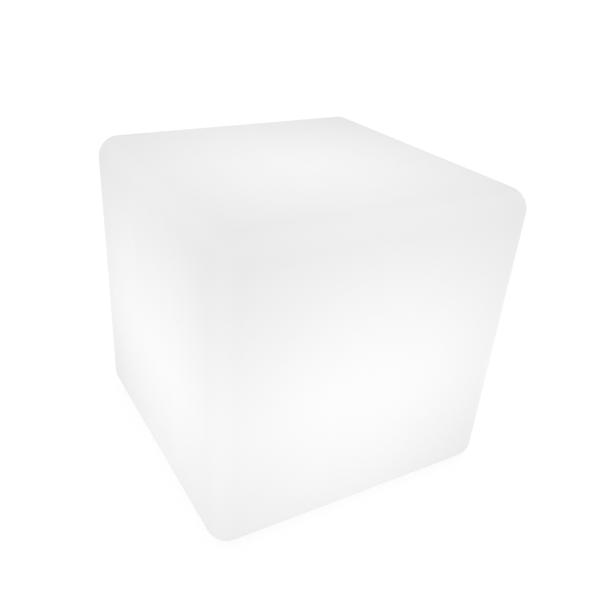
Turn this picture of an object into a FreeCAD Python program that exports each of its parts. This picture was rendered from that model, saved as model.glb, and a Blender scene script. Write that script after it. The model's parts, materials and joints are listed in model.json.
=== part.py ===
import FreeCAD, Part
import math
import os
import Sketcher

# A glowing cube that stands on the ground: a one-piece hollow shell with a light module in its underside.
# Millimetres, +Z up, origin at the middle of the footprint, z = 0 on the ground.

Vector = FreeCAD.Vector

SIZES = [
    ("cube_width", 400, "width and depth of the shell"),
    ("cube_height", 392, "height of the shell"),
    ("edge_radius", 28, "outer radius of every edge"),
    ("shell_wall", 3.5, "moulded wall"),
    ("rim_width", 14, "flat standing rim round the underside"),
    ("recess_depth", 4, "depth of the underside panel above the ground"),
    ("recess_corner_radius", 30, "corner radius of that panel"),
    ("well_gap", 3, "between the module's flange and the wall of its well"),
    ("seat_height", 25.5, "height of the module's seat above the ground"),
    ("hole_gap", 1, "between the module's cup and the hole in the well's roof"),
    ("screw_count", 6, "screws and moulded-in nuts round the module"),
    ("screw_diameter", 4, "module screw shank"),
    ("screw_length", 12, "module screw under its head"),
    ("screw_head_diameter", 8, "module screw head"),
    ("screw_head_height", 2.4, "module screw head"),
    ("screw_head_bevel", 1.4, "width of its bevelled shoulder"),
    ("insert_diameter", 6, "moulded-in nut"),
    ("insert_length", 9, "moulded-in nut"),
    ("boss_wall", 2.5, "plastic round a moulded-in nut or a pilot hole"),
    ("gasket_thickness", 1.5, "module gasket"),
    ("flange_diameter", 122, "module flange"),
    ("flange_thickness", 3, "module flange and floor"),
    ("flange_bevel", 1, "lower edge of the flange"),
    ("cup_wall", 2.5, "wall of the module cup"),
    ("cup_height", 26, "cup rim above the module floor"),
    ("boss_overlap", 0.8, "how far the cover bosses run into the cup's wall"),
    ("board_gap", 1.8, "between the emitter board and the cover bosses"),
    ("running_gap", 0.15, "radial gap round what slides or passes through"),
    ("fit_gap", 0.05, "radial gap round what is fixed in a hole"),
    ("small_screw_diameter", 2.5, "board and cover screws"),
    ("small_screw_length", 8, "board and cover screws under the head"),
    ("small_head_diameter", 4.8, "board and cover screws"),
    ("small_head_height", 1.6, "board and cover screws"),
    ("cover_screw_angle", 35, "direction of the cover screws from the X axis"),
    ("post_gap", 0.5, "between the board posts and the control board"),
    ("post_height", 22.5, "board posts above the module floor"),
    ("post_diameter", 6, "board posts"),
    ("board_margin", 1, "emitter board past its posts"),
    ("head_gap", 1.1, "between the outer emitters and the screw heads"),
    ("board_thickness", 1.6, "both circuit boards"),
    ("emitter_size", 5, "emitter package"),
    ("emitter_height", 1.6, "emitter package"),
    ("outer_ring_diameter", 56, "outer ring of emitters"),
    ("outer_ring_count", 12, "emitters in the outer ring"),
    ("inner_ring_diameter", 30, "inner ring of emitters"),
    ("inner_ring_count", 6, "emitters in the inner ring"),
    ("receiver_length", 6, "infrared receiver"),
    ("receiver_width", 4, "infrared receiver"),
    ("receiver_height", 5, "infrared receiver"),
    ("receiver_window_diameter", 4, "its half-round window"),
    ("receiver_window_offset", 1.5, "window's axis in front of the package's middle"),
    ("receiver_window_step", 1, "window below the package's top and above the board"),
    ("cover_flange_thickness", 2.5, "flange of the lens cover"),
    ("cover_rise", 12.5, "lens cover above its flange"),
    ("cover_wall", 2, "wall of the lens cover"),
    ("cover_bevel", 5, "bevelled shoulder of the lens cover"),
    ("puck_gap", 1, "between the raised lens and the screw heads"),
    ("seal_width", 1.2, "lens and button seal rings"),
    ("seal_depth", 0.8, "lens seal ring"),
    ("cell_diameter", 18.4, "lithium cell"),
    ("cell_length", 65, "lithium cell"),
    ("cell_pitch", 19, "between the cells' axes"),
    ("wrap_thickness", 0.35, "shrink sleeve"),
    ("wrap_setback", 0.2, "shrink sleeve from each end of the cells"),
    ("cradle_rise", 1, "battery above the module floor"),
    ("cradle_thickness", 3, "cradle ribs"),
    ("cradle_spacing", 42, "between the two cradle ribs"),
    ("cradle_drop", 3.4, "top of the ribs below the cells' axis"),
    ("cradle_inset", 0.5, "ends of the ribs inside the sleeve's sides"),
    ("tab_width", 7, "nickel strips"),
    ("tab_thickness", 0.3, "nickel strips"),
    ("pad_length", 28, "foam pad"),
    ("pad_width", 18, "foam pad"),
    ("battery_gap", 2.4, "between the battery and the control board"),
    ("control_length", 32, "control board"),
    ("control_width", 17, "control board"),
    ("control_height", 10, "control board above the module floor"),
    ("control_post_spacing", 26, "between the control board's posts"),
    ("control_post_shift", 5, "those posts towards the cube's axis"),
    ("chip_size", 4.4, "processor and charger packages"),
    ("chip_height", 1.4, "processor and charger packages"),
    ("coil_size", 5, "charger's coil"),
    ("coil_height", 2.8, "charger's coil"),
    ("chip_spacing", 9, "between chips and coil along the board"),
    ("chip_row", 3.2, "chips from the middle of the board"),
    ("capacitor_diameter", 4, "two capacitors"),
    ("capacitor_height", 5, "two capacitors"),
    ("capacitor_spacing", 8, "between the capacitors"),
    ("capacitor_row", 2, "capacitors from the middle of the board"),
    ("button_diameter", 12, "button"),
    ("button_proud", 0.8, "button below the flange"),
    ("button_edge", 0.5, "bevel and dish of the button's face"),
    ("button_travel", 1, "travel of the button"),
    ("button_collar_width", 1.8, "collar that keeps the button in"),
    ("button_collar_height", 1, "collar that keeps the button in"),
    ("button_stem_diameter", 5, "stem above the collar"),
    ("button_stem_height", 1.5, "stem above the collar"),
    ("button_stop_gap", 0.1, "between the collar and the floor"),
    ("switch_size", 8.5, "push switch body"),
    ("switch_mouth", 0.6, "how far the pressed stem dips into the switch"),
    ("plunger_diameter", 3.4, "push switch plunger"),
    ("plunger_length", 4, "push switch plunger"),
    ("indicator_diameter", 3, "light pipe"),
    ("indicator_collar", 4.6, "collar of the light pipe"),
    ("indicator_collar_height", 1, "collar of the light pipe"),
    ("indicator_x", 10.5, "light pipe from the button"),
    ("indicator_y", 4.5, "light pipe from the button"),
    ("port_offset", 31, "charging port from the cube's axis"),
    ("port_diameter", 14, "port pocket"),
    ("port_depth", 4, "port pocket"),
    ("socket_collar_diameter", 11, "charging socket"),
    ("socket_collar_height", 1.5, "charging socket"),
    ("socket_thread_diameter", 8, "charging socket"),
    ("socket_length", 11, "charging socket behind its collar"),
    ("socket_bore_diameter", 5.5, "bore for a charging plug"),
    ("socket_bore_depth", 10, "bore for a charging plug"),
    ("socket_pin_diameter", 2.1, "centre pin"),
    ("socket_pin_setback", 1, "centre pin behind the socket's mouth"),
    ("terminal_spacing", 4, "between the socket's two terminals"),
    ("terminal_thickness", 0.5, "socket terminal"),
    ("terminal_width", 2, "socket terminal"),
    ("terminal_length", 4, "socket terminal"),
    ("washer_thickness", 0.5, "sealing washer"),
    ("washer_margin", 0.4, "sealing washer past the collar"),
    ("nut_width", 11, "socket nut across its flats"),
    ("nut_height", 2.5, "socket nut"),
    ("plug_cap_diameter", 13, "stopper cap"),
    ("plug_cap_thickness", 1.8, "stopper cap"),
    ("plug_bevel", 0.6, "lower edge of the stopper cap"),
    ("plug_nub_length", 2.4, "stopper nub above its cap"),
    ("plug_nub_diameter", 5.2, "stopper nub at its root"),
    ("plug_tip_diameter", 4.6, "stopper nub at its tip"),
    ("plug_nub_bore", 3.3, "hollow of the nub, which clears the pin"),
    ("plug_tab_reach", 2, "pull tab past the cap"),
    ("plug_root", 1, "how far the tab and the strap run into the cap"),
    ("nail_room", 3, "channel past the pull tab, for a fingernail"),
    ("channel_gap", 0.4, "channel round the anchor head"),
    ("strap_length", 13, "port axis to the strap's bend"),
    ("strap_width", 5, "stopper strap"),
    ("strap_thickness", 1.2, "stopper strap"),
    ("bend_gap", 0.3, "between the strap's bend and the anchor's stub"),
    ("anchor_offset", 4, "strap's bend to the anchor's axis"),
    ("anchor_head_diameter", 5.6, "anchor head"),
    ("anchor_stem_diameter", 2.8, "anchor stem"),
    ("anchor_barb_diameter", 3.6, "anchor barb"),
    ("anchor_tip_diameter", 2.2, "anchor stem's tip"),
    ("anchor_depth", 4, "anchor stem above its head"),
    ("ribbon_width", 3.2, "flat two-core lead"),
    ("ribbon_thickness", 1.4, "flat two-core lead"),
    ("ribbon_bend", 2, "bend radius of a lead"),
    ("lead_gap", 0.5, "leads above the battery"),
    ("lead_pitch", 3, "between leads on the control board"),
    ("lead_inset", 1.7, "leads from the control board's edge"),
    ("lead_spread", 4, "between the socket's leads beside the pad"),
    ("lead_slack", 3.5, "battery leads out past the tabs"),
    ("lead_rise", 3, "height in which the emitter lead crosses over"),
    ("solder_height", 0.3, "emitter lead above its board"),
]

doc = FreeCAD.newDocument("LedCubeLight")
sheet = doc.addObject("Spreadsheet::Sheet", "Sizes")
for row, (alias, number, meaning) in enumerate(SIZES, start=1):
    sheet.set(f"A{row}", alias)
    sheet.set(f"B{row}", str(number))
    sheet.set(f"C{row}", meaning)
    sheet.setAlias(f"B{row}", alias)
doc.recompute()

# Heights above the ground, worked out from the driving sizes.
FLOOR_TOP = "(Sizes.seat_height - Sizes.gasket_thickness)"
FLANGE_UNDERSIDE = f"({FLOOR_TOP} - Sizes.flange_thickness)"
CUP_RIM = f"({FLOOR_TOP} + Sizes.cup_height)"
POST_TOP = f"({FLOOR_TOP} + Sizes.post_height)"
LED_BOARD_TOP = f"({POST_TOP} + Sizes.board_thickness)"
COVER_FLANGE_TOP = f"({CUP_RIM} + Sizes.cover_flange_thickness)"
CONTROL_UNDERSIDE = f"({FLOOR_TOP} + Sizes.control_height)"
CONTROL_TOP = f"({CONTROL_UNDERSIDE} + Sizes.board_thickness)"
PORT_FLOOR = f"({FLANGE_UNDERSIDE} + Sizes.port_depth)"
PORT_BOSS_TOP = f"({PORT_FLOOR} + Sizes.boss_wall)"
SOCKET_MOUTH = f"({PORT_FLOOR} - Sizes.washer_thickness - Sizes.socket_collar_height)"
WRAP_RADIUS = "(Sizes.cell_diameter / 2 + Sizes.fit_gap + Sizes.wrap_thickness)"
CELL_AXIS = f"({FLOOR_TOP} + Sizes.cradle_rise + {WRAP_RADIUS})"
WRAP_TOP = f"({CELL_AXIS} + {WRAP_RADIUS})"
LEAD_HEIGHT = f"({WRAP_TOP} + Sizes.ribbon_thickness / 2 + Sizes.lead_gap)"

# Radii across the module, from the emitters outwards to the well in the shell.
POST_RADIUS = (
    "(Sizes.outer_ring_diameter / 2 + Sizes.emitter_size / 2"
    " + Sizes.head_gap + Sizes.small_head_diameter / 2)"
)
LED_BOARD_RADIUS = f"({POST_RADIUS} + Sizes.post_diameter / 2 + Sizes.board_margin)"
COVER_SCREW_RADIUS = f"({LED_BOARD_RADIUS} + Sizes.board_gap + Sizes.post_diameter / 2)"
PUCK_RADIUS = f"({COVER_SCREW_RADIUS} - Sizes.small_head_diameter / 2 - Sizes.puck_gap)"
CUP_INSIDE = f"({COVER_SCREW_RADIUS} + Sizes.post_diameter / 2 - Sizes.boss_overlap)"
CUP_RADIUS = f"({CUP_INSIDE} + Sizes.cup_wall)"
RIM_RADIUS = f"({CUP_RADIUS} - Sizes.cup_wall / 2)"
HOLE_RADIUS = f"({CUP_RADIUS} + Sizes.hole_gap)"
FLANGE_RADIUS = "(Sizes.flange_diameter / 2)"
WELL_RADIUS = f"({FLANGE_RADIUS} + Sizes.well_gap)"
SCREW_RADIUS = f"(({HOLE_RADIUS} + {FLANGE_RADIUS}) / 2)"
BOSS_RADIUS = "(Sizes.insert_diameter / 2 + Sizes.boss_wall)"

# Places inside the module: the control board lies beside the battery, the board posts beside that.
CONTROL_Y = f"(Sizes.cell_pitch / 2 + {WRAP_RADIUS} + Sizes.battery_gap + Sizes.control_width / 2)"
CONTROL_POST_Y = f"({CONTROL_Y} - Sizes.control_post_shift)"
LEAD_Y = f"({CONTROL_Y} - Sizes.control_width / 2 + Sizes.lead_inset)"
LEAD_SLOT_Y = "((Sizes.outer_ring_diameter + Sizes.inner_ring_diameter) / 4)"
POST_X = "(Sizes.control_length / 2 + Sizes.post_gap + Sizes.post_diameter / 2)"
POST_Y = f"sqrt({POST_RADIUS} ^ 2 - {POST_X} ^ 2)"
COVER_SCREW_X = f"({COVER_SCREW_RADIUS} * cos(Sizes.cover_screw_angle))"
COVER_SCREW_Y = f"({COVER_SCREW_RADIUS} * sin(Sizes.cover_screw_angle))"
ANCHOR_X = "(Sizes.strap_length + Sizes.anchor_offset)"
RECESS_HALF = "(Sizes.cube_width / 2 - Sizes.edge_radius - Sizes.rim_width)"

# How near an edge lies to the place where it is looked for, and the least volume that a feature changes.
NEAR = 1e-3
LEAST_CHANGE = 1e-6


def value(expression):
    """The number that an expression of the sheet gives."""
    result = sheet.evalExpression(expression)
    return float(getattr(result, "Value", result))


def four_places(x, y):
    """A place and its mirror images across both axes, as expressions."""
    return [(x, y), (f"-{x}", y), (f"-{x}", f"-{y}"), (x, f"-{y}")]


COVER_SCREW_PLACES = four_places(COVER_SCREW_X, COVER_SCREW_Y)
POST_PLACES = four_places(POST_X, POST_Y)
CONTROL_POST_PLACES = [
    (f"{side}Sizes.control_post_spacing / 2", CONTROL_POST_Y) for side in ("", "-")
]


def origin_feature(body, role):
    return next(item for item in body.Origin.OriginFeatures if item.Role == role)


def new_body(label, place=None):
    """A body whose place is bound to three expressions."""
    body = doc.addObject("PartDesign::Body", label)
    body.Label = label
    body.AllowCompound = True
    for axis, expression in zip("xyz", place or ()):
        body.setExpression(f"Placement.Base.{axis}", expression)
    return body


def new_sketch(body, name, level="0", role="XY_Plane"):
    """A sketch on an origin plane of the body, raised along its normal to a level."""
    sketch = body.newObject("Sketcher::SketchObject", name)
    sketch.AttachmentSupport = (origin_feature(body, role), [""])
    sketch.MapMode = "FlatFace"
    sketch.setExpression("AttachmentOffset.Base.z", level)
    return sketch


def bind(sketch, kind, expression, *where):
    """A constraint of one kind whose size follows an expression."""
    index = sketch.addConstraint(Sketcher.Constraint(kind, *where, value(expression)))
    sketch.setExpression(f"Constraints[{index}]", expression)


def add_circle(sketch, radius, x="0", y="0"):
    centre = Vector(value(x), value(y), 0)
    circle = sketch.addGeometry(Part.Circle(centre, Vector(0, 0, 1), value(radius)), False)
    bind(sketch, "Radius", radius, circle)
    bind(sketch, "DistanceX", x, -1, 1, circle, 3)
    bind(sketch, "DistanceY", y, -1, 1, circle, 3)


def add_outline(sketch, points):
    """A closed outline of straight lines through points given as pairs of expressions."""
    spots = [Vector(value(x), value(y), 0) for x, y in points]
    count = len(spots)
    first = len(sketch.Geometry)
    for index, spot in enumerate(spots):
        sketch.addGeometry(Part.LineSegment(spot, spots[(index + 1) % count]), False)
    for index in range(count):
        following = first + (index + 1) % count
        sketch.addConstraint(Sketcher.Constraint("Coincident", first + index, 2, following, 1))
    for index, (x, y) in enumerate(points):
        bind(sketch, "DistanceX", x, -1, 1, first + index, 1)
        bind(sketch, "DistanceY", y, -1, 1, first + index, 1)


def add_rectangle(sketch, half_x, half_y, x="0", y="0"):
    left = f"({x}) - ({half_x})"
    right = f"({x}) + ({half_x})"
    low = f"({y}) - ({half_y})"
    high = f"({y}) + ({half_y})"
    add_outline(sketch, [(left, low), (right, low), (right, high), (left, high)])


def add_axis(sketch, x):
    """A construction line along the sketch's vertical at x, for a revolution about it."""
    line = Part.LineSegment(Vector(value(x), 0, 0), Vector(value(x), 1, 0))
    index = sketch.addGeometry(line, True)
    for end in (1, 2):
        bind(sketch, "DistanceX", x, -1, 1, index, end)
    bind(sketch, "DistanceY", "0", -1, 1, index, 1)
    bind(sketch, "DistanceY", "1", -1, 1, index, 2)


def feature(body, kind, name, sketch, **settings):
    """A sketch-based feature, which has to add or remove material."""
    doc.recompute()
    before = body.Shape.Volume if body.Shape.Solids else 0.0
    item = body.newObject(f"PartDesign::{kind}", name)
    item.Profile = sketch
    for setting, content in settings.items():
        if isinstance(content, str):
            item.setExpression(setting, content)
        else:
            setattr(item, setting, content)
    sketch.Visibility = False
    doc.recompute()
    change = body.Shape.Volume - before
    cuts = kind in ("Pocket", "Groove")
    if (cuts and change > -LEAST_CHANGE) or (not cuts and change < LEAST_CHANGE):
        raise RuntimeError(f"{body.Label}: {name} changes nothing")
    return item


def pad(body, name, sketch, length, **settings):
    return feature(body, "Pad", name, sketch, Length=length, **settings)


def pocket_up(body, name, sketch, depth):
    """A pocket that cuts from the sketch's level upwards."""
    return feature(body, "Pocket", name, sketch, Length=depth, Reversed=True)


def revolve(body, name, sketch, axis="V_Axis"):
    return feature(body, "Revolution", name, sketch, ReferenceAxis=(sketch, [axis]), Angle=360.0)


def pattern(body, name, originals, count):
    """Copies of features round the body's Z axis."""
    item = body.newObject("PartDesign::PolarPattern", name)
    item.Originals = originals
    item.Axis = (origin_feature(body, "Z_Axis"), [""])
    item.Angle = 360.0
    item.setExpression("Occurrences", count)
    body.Tip = item
    doc.recompute()
    return item


def round_edges(body, name, base, radius, chosen=None):
    """A fillet on the edges of the base that a test picks."""
    return dress_edges(body, "Fillet", name, base, "Radius", radius, chosen)


def bevel_edges(body, name, base, size, chosen):
    """A chamfer on the edges of the base that a test picks."""
    return dress_edges(body, "Chamfer", name, base, "Size", size, chosen)


def dress_edges(body, kind, name, base, setting, size, chosen):
    edges = [
        f"Edge{number}"
        for number, edge in enumerate(base.Shape.Edges, start=1)
        if chosen is None or chosen(edge)
    ]
    dressing = body.newObject(f"PartDesign::{kind}", name)
    dressing.Base = (base, edges)
    dressing.setExpression(setting, size)
    doc.recompute()
    if not edges or "Invalid" in dressing.State:
        raise RuntimeError(f"{body.Label}: {name} changes no edge")
    return dressing


def edge_near(level, radius=None):
    """A test for a circular or straight edge at one height, and for a circle of one radius."""
    def test(edge):
        box = edge.BoundBox
        flat = abs(box.ZMin - level) < NEAR and abs(box.ZMax - level) < NEAR
        if radius is None:
            return flat
        curve = edge.Curve
        return flat and isinstance(curve, Part.Circle) and abs(curve.Radius - radius) < NEAR
    return test


def upright(edge):
    """A test for an edge along Z."""
    box = edge.BoundBox
    return box.ZLength > NEAR and box.XLength < NEAR and box.YLength < NEAR


# ---- the shell ----

def rounded_block(body, name, half_width, bottom, height, radius):
    """A square block with every edge rounded."""
    sketch = new_sketch(body, f"{name}_square", bottom)
    add_rectangle(sketch, half_width, half_width)
    block = pad(body, f"{name}_block", sketch, height)
    return round_edges(body, f"{name}_edges", block, radius)


def rounded_square_cut(body, name, half_width, bottom, depth, corner_radius):
    """A square pocket from a level upwards, with rounded corners."""
    sketch = new_sketch(body, f"{name}_square", bottom)
    add_rectangle(sketch, half_width, half_width)
    cut = pocket_up(body, name, sketch, depth)
    half = value(half_width)

    def corner(edge):
        middle = edge.BoundBox.Center
        return upright(edge) and abs(abs(middle.x) - half) < NEAR and abs(abs(middle.y) - half) < NEAR

    return round_edges(body, f"{name}_corners", cut, corner_radius, corner)


def make_shell():
    """One hollow moulding: the outer form less the cavity that its even wall leaves."""
    outer = new_body("shell_outer_form")
    rounded_block(outer, "outer", "Sizes.cube_width / 2", "0", "Sizes.cube_height", "Sizes.edge_radius")
    rounded_square_cut(outer, "recess", RECESS_HALF, "0", "Sizes.recess_depth", "Sizes.recess_corner_radius")
    well = new_sketch(outer, "well_circle", "Sizes.recess_depth")
    add_circle(well, WELL_RADIUS)
    pocket_up(outer, "well", well, "Sizes.seat_height - Sizes.recess_depth")
    hole = new_sketch(outer, "hole_circle", "Sizes.seat_height")
    add_circle(hole, HOLE_RADIUS)
    pocket_up(outer, "hole", hole, "Sizes.insert_length + Sizes.boss_wall")
    nut_hole = new_sketch(outer, "nut_hole_circle", "Sizes.seat_height")
    add_circle(nut_hole, "Sizes.insert_diameter / 2 + Sizes.fit_gap", SCREW_RADIUS)
    first = pocket_up(outer, "nut_hole", nut_hole, "Sizes.insert_length + Sizes.fit_gap")
    pattern(outer, "nut_holes", [first], "Sizes.screw_count")

    cavity = new_body("shell_cavity")
    wall = "Sizes.shell_wall"
    rounded_block(
        cavity, "inner", f"Sizes.cube_width / 2 - {wall}", wall,
        f"Sizes.cube_height - 2 * {wall}", f"Sizes.edge_radius - {wall}",
    )
    rounded_square_cut(
        cavity, "panel", f"{RECESS_HALF} + {wall}", wall,
        "Sizes.recess_depth", f"Sizes.recess_corner_radius + {wall}",
    )
    well_wall = new_sketch(cavity, "well_wall_circle", f"Sizes.recess_depth + {wall}")
    add_circle(well_wall, f"{WELL_RADIUS} + {wall}")
    pocket_up(cavity, "well_wall", well_wall, "Sizes.seat_height - Sizes.recess_depth")
    boss = new_sketch(cavity, "boss_circle", f"Sizes.seat_height + {wall}")
    add_circle(boss, BOSS_RADIUS, SCREW_RADIUS)
    boss_height = f"Sizes.insert_length + Sizes.boss_wall - {wall}"
    first = pocket_up(cavity, "boss", boss, boss_height)
    pattern(cavity, "bosses", [first], "Sizes.screw_count")

    shell = doc.addObject("Part::Cut", "cube_shell")
    shell.Label = "cube_shell"
    shell.Base = outer
    shell.Tool = cavity
    doc.recompute()
    return shell


def make_insert_nuts():
    """Six moulded-in nuts, flush with the seat."""
    body = new_body("insert_nuts", ("0", "0", "Sizes.seat_height"))
    axis = SCREW_RADIUS
    bore = f"{axis} + Sizes.screw_diameter / 2 + Sizes.fit_gap"
    grip = f"{axis} + Sizes.insert_diameter / 2"
    sketch = new_sketch(body, "nut_profile", role="XZ_Plane")
    add_outline(sketch, [
        (bore, "0"), (grip, "0"), (grip, "Sizes.insert_length"), (bore, "Sizes.insert_length"),
    ])
    add_axis(sketch, axis)
    first = revolve(body, "nut", sketch, "Axis0")
    pattern(body, "nuts", [first], "Sizes.screw_count")
    return body


def make_module_gasket():
    body = new_body("module_gasket", ("0", "0", FLOOR_TOP))
    sketch = new_sketch(body, "ring")
    add_circle(sketch, f"{FLANGE_RADIUS} - Sizes.flange_bevel")
    add_circle(sketch, HOLE_RADIUS)
    pad(body, "ring_pad", sketch, "Sizes.gasket_thickness")
    hole = new_sketch(body, "screw_hole")
    add_circle(hole, "Sizes.screw_diameter / 2 + Sizes.running_gap", SCREW_RADIUS)
    first = pocket_up(body, "screw_cut", hole, "Sizes.gasket_thickness")
    pattern(body, "screw_cuts", [first], "Sizes.screw_count")
    return body


def make_module_screws():
    """Pan heads below the flange, shanks up into the moulded-in nuts."""
    body = new_body("module_screws", ("0", "0", FLANGE_UNDERSIDE))
    axis = SCREW_RADIUS
    head = f"{axis} + Sizes.screw_head_diameter / 2"
    shank = f"{axis} + Sizes.screw_diameter / 2"
    sketch = new_sketch(body, "screw_profile", role="XZ_Plane")
    add_outline(sketch, [
        (axis, "-Sizes.screw_head_height"), (f"{head} - Sizes.screw_head_bevel", "-Sizes.screw_head_height"),
        (head, "-Sizes.screw_head_height / 2"), (head, "0"), (shank, "0"),
        (shank, "Sizes.screw_length"), (axis, "Sizes.screw_length"),
    ])
    add_axis(sketch, axis)
    first = revolve(body, "screw", sketch, "Axis0")
    pattern(body, "screws", [first], "Sizes.screw_count")
    return body


# ---- the module's housing ----

def make_module_base():
    """The moulded housing: flange and floor, cup, posts, cradle, port pocket and openings."""
    body = new_body("module_base", ("0", "0", FLANGE_UNDERSIDE))
    floor = "Sizes.flange_thickness"

    sketch = new_sketch(body, "flange_circle")
    add_circle(sketch, FLANGE_RADIUS)
    flange = pad(body, "flange", sketch, floor)
    test = edge_near(0, value(FLANGE_RADIUS))
    bevel_edges(body, "flange_edge", flange, "Sizes.flange_bevel", test)

    sketch = new_sketch(body, "cup_circles", floor)
    add_circle(sketch, CUP_RADIUS)
    add_circle(sketch, CUP_INSIDE)
    pad(body, "cup", sketch, "Sizes.cup_height")

    sketch = new_sketch(body, "cover_boss_circles", floor)
    for x, y in COVER_SCREW_PLACES:
        add_circle(sketch, "Sizes.post_diameter / 2", x, y)
    pad(body, "cover_bosses", sketch, "Sizes.cup_height")

    sketch = new_sketch(body, "post_circles", floor)
    for x, y in POST_PLACES:
        add_circle(sketch, "Sizes.post_diameter / 2", x, y)
    pad(body, "board_posts", sketch, "Sizes.post_height")

    sketch = new_sketch(body, "control_post_circles", floor)
    for x, y in CONTROL_POST_PLACES:
        add_circle(sketch, "Sizes.post_diameter / 2", x, y)
    pad(body, "control_posts", sketch, "Sizes.control_height")

    sketch = new_sketch(body, "port_boss_circle", floor)
    add_circle(sketch, "Sizes.port_diameter / 2 + Sizes.boss_wall", "0", "-Sizes.port_offset")
    pad(body, "port_boss", sketch, f"{PORT_BOSS_TOP} - {FLOOR_TOP}")

    anchor_top = "(Sizes.strap_thickness + Sizes.plug_cap_thickness) / 2 + Sizes.anchor_depth"
    sketch = new_sketch(body, "anchor_boss_circle", floor)
    add_circle(sketch, "Sizes.anchor_barb_diameter / 2 + Sizes.boss_wall", ANCHOR_X, "-Sizes.port_offset")
    pad(body, "anchor_boss", sketch, f"{anchor_top} + Sizes.boss_wall - {floor}")

    cell_axis = f"({CELL_AXIS} - {FLANGE_UNDERSIDE})"
    rib_radius = f"({WRAP_RADIUS} + Sizes.fit_gap)"
    rib_top = f"{cell_axis} - Sizes.cradle_drop"
    rib_half = f"Sizes.cell_pitch / 2 + {WRAP_RADIUS} - Sizes.cradle_inset"
    for side in ("", "-"):
        name = "cradle_front" if side else "cradle_back"
        sketch = new_sketch(body, f"{name}_profile", f"{side}Sizes.cradle_spacing / 2", "YZ_Plane")
        add_outline(sketch, [
            (f"-({rib_half})", floor), (rib_half, floor), (rib_half, rib_top), (f"-({rib_half})", rib_top),
        ])
        pad(body, name, sketch, "Sizes.cradle_thickness", Midplane=True)
    cradle_length = "Sizes.cradle_spacing + 2 * Sizes.cradle_thickness"
    for side in ("", "-"):
        name = "front_seat" if side else "back_seat"
        sketch = new_sketch(body, f"{name}_circle", role="YZ_Plane")
        add_circle(sketch, rib_radius, f"{side}Sizes.cell_pitch / 2", cell_axis)
        feature(body, "Pocket", name, sketch, Length=cradle_length, Midplane=True)
    sketch = new_sketch(body, "sleeve_room", role="YZ_Plane")
    add_rectangle(sketch, "Sizes.cell_pitch / 2", rib_radius, "0", cell_axis)
    feature(body, "Pocket", "middle_seat", sketch, Length=cradle_length, Midplane=True)

    cuts = [
        ("port_pocket", "Sizes.port_diameter / 2", "0", "-Sizes.port_offset", "0", "Sizes.port_depth"),
        ("socket_hole", "Sizes.socket_thread_diameter / 2 + Sizes.fit_gap", "0", "-Sizes.port_offset",
         "Sizes.port_depth", "Sizes.boss_wall"),
        ("anchor_hole", "Sizes.anchor_barb_diameter / 2 + Sizes.fit_gap", ANCHOR_X, "-Sizes.port_offset",
         "0", f"{anchor_top} + Sizes.fit_gap"),
        ("button_hole", "Sizes.button_diameter / 2 + Sizes.running_gap", "0", CONTROL_Y,
         "0", floor),
        ("indicator_hole", "Sizes.indicator_diameter / 2 + Sizes.fit_gap", "Sizes.indicator_x",
         f"{CONTROL_Y} + Sizes.indicator_y", "0", floor),
    ]
    for name, radius, x, y, level, depth in cuts:
        sketch = new_sketch(body, f"{name}_circle", level)
        add_circle(sketch, radius, x, y)
        pocket_up(body, name, sketch, depth)

    # A channel for the stopper's strap, and a nail notch at its tab.
    sketch = new_sketch(body, "strap_channel_outline")
    start = "-(Sizes.plug_cap_diameter / 2 + Sizes.plug_tab_reach + Sizes.nail_room)"
    half = "(Sizes.anchor_head_diameter / 2 + Sizes.channel_gap)"
    end = f"{ANCHOR_X} + {half}"
    low = f"-Sizes.port_offset - {half}"
    high = f"-Sizes.port_offset + {half}"
    add_outline(sketch, [(start, low), (end, low), (end, high), (start, high)])
    pocket_up(body, "strap_channel", sketch, "Sizes.plug_cap_thickness")

    sketch = new_sketch(body, "flange_screw_hole")
    add_circle(sketch, "Sizes.screw_diameter / 2 + Sizes.running_gap", SCREW_RADIUS)
    first = pocket_up(body, "flange_hole", sketch, floor)
    pattern(body, "flange_holes", [first], "Sizes.screw_count")

    pilot = "Sizes.small_screw_diameter / 2 + Sizes.fit_gap"
    depth = "Sizes.small_screw_length + Sizes.fit_gap"
    sketch = new_sketch(body, "cover_pilot_circles", f"{floor} + Sizes.cup_height - ({depth})")
    for x, y in COVER_SCREW_PLACES:
        add_circle(sketch, pilot, x, y)
    pocket_up(body, "cover_pilots", sketch, depth)
    sketch = new_sketch(body, "post_pilot_circles", f"{floor} + Sizes.post_height - ({depth})")
    for x, y in POST_PLACES:
        add_circle(sketch, pilot, x, y)
    pocket_up(body, "post_pilots", sketch, depth)
    sketch = new_sketch(body, "control_pilot_circles", f"{floor} + Sizes.control_height - ({depth})")
    for x, y in CONTROL_POST_PLACES:
        add_circle(sketch, pilot, x, y)
    pocket_up(body, "control_pilots", sketch, depth)

    sketch = new_sketch(body, "seal_groove_circles", f"{floor} + Sizes.cup_height - Sizes.seal_depth")
    add_circle(sketch, f"{RIM_RADIUS} + Sizes.seal_width / 2 + Sizes.fit_gap")
    add_circle(sketch, f"{RIM_RADIUS} - Sizes.seal_width / 2 - Sizes.fit_gap")
    pocket_up(body, "seal_groove", sketch, "Sizes.seal_depth")
    return body


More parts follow.
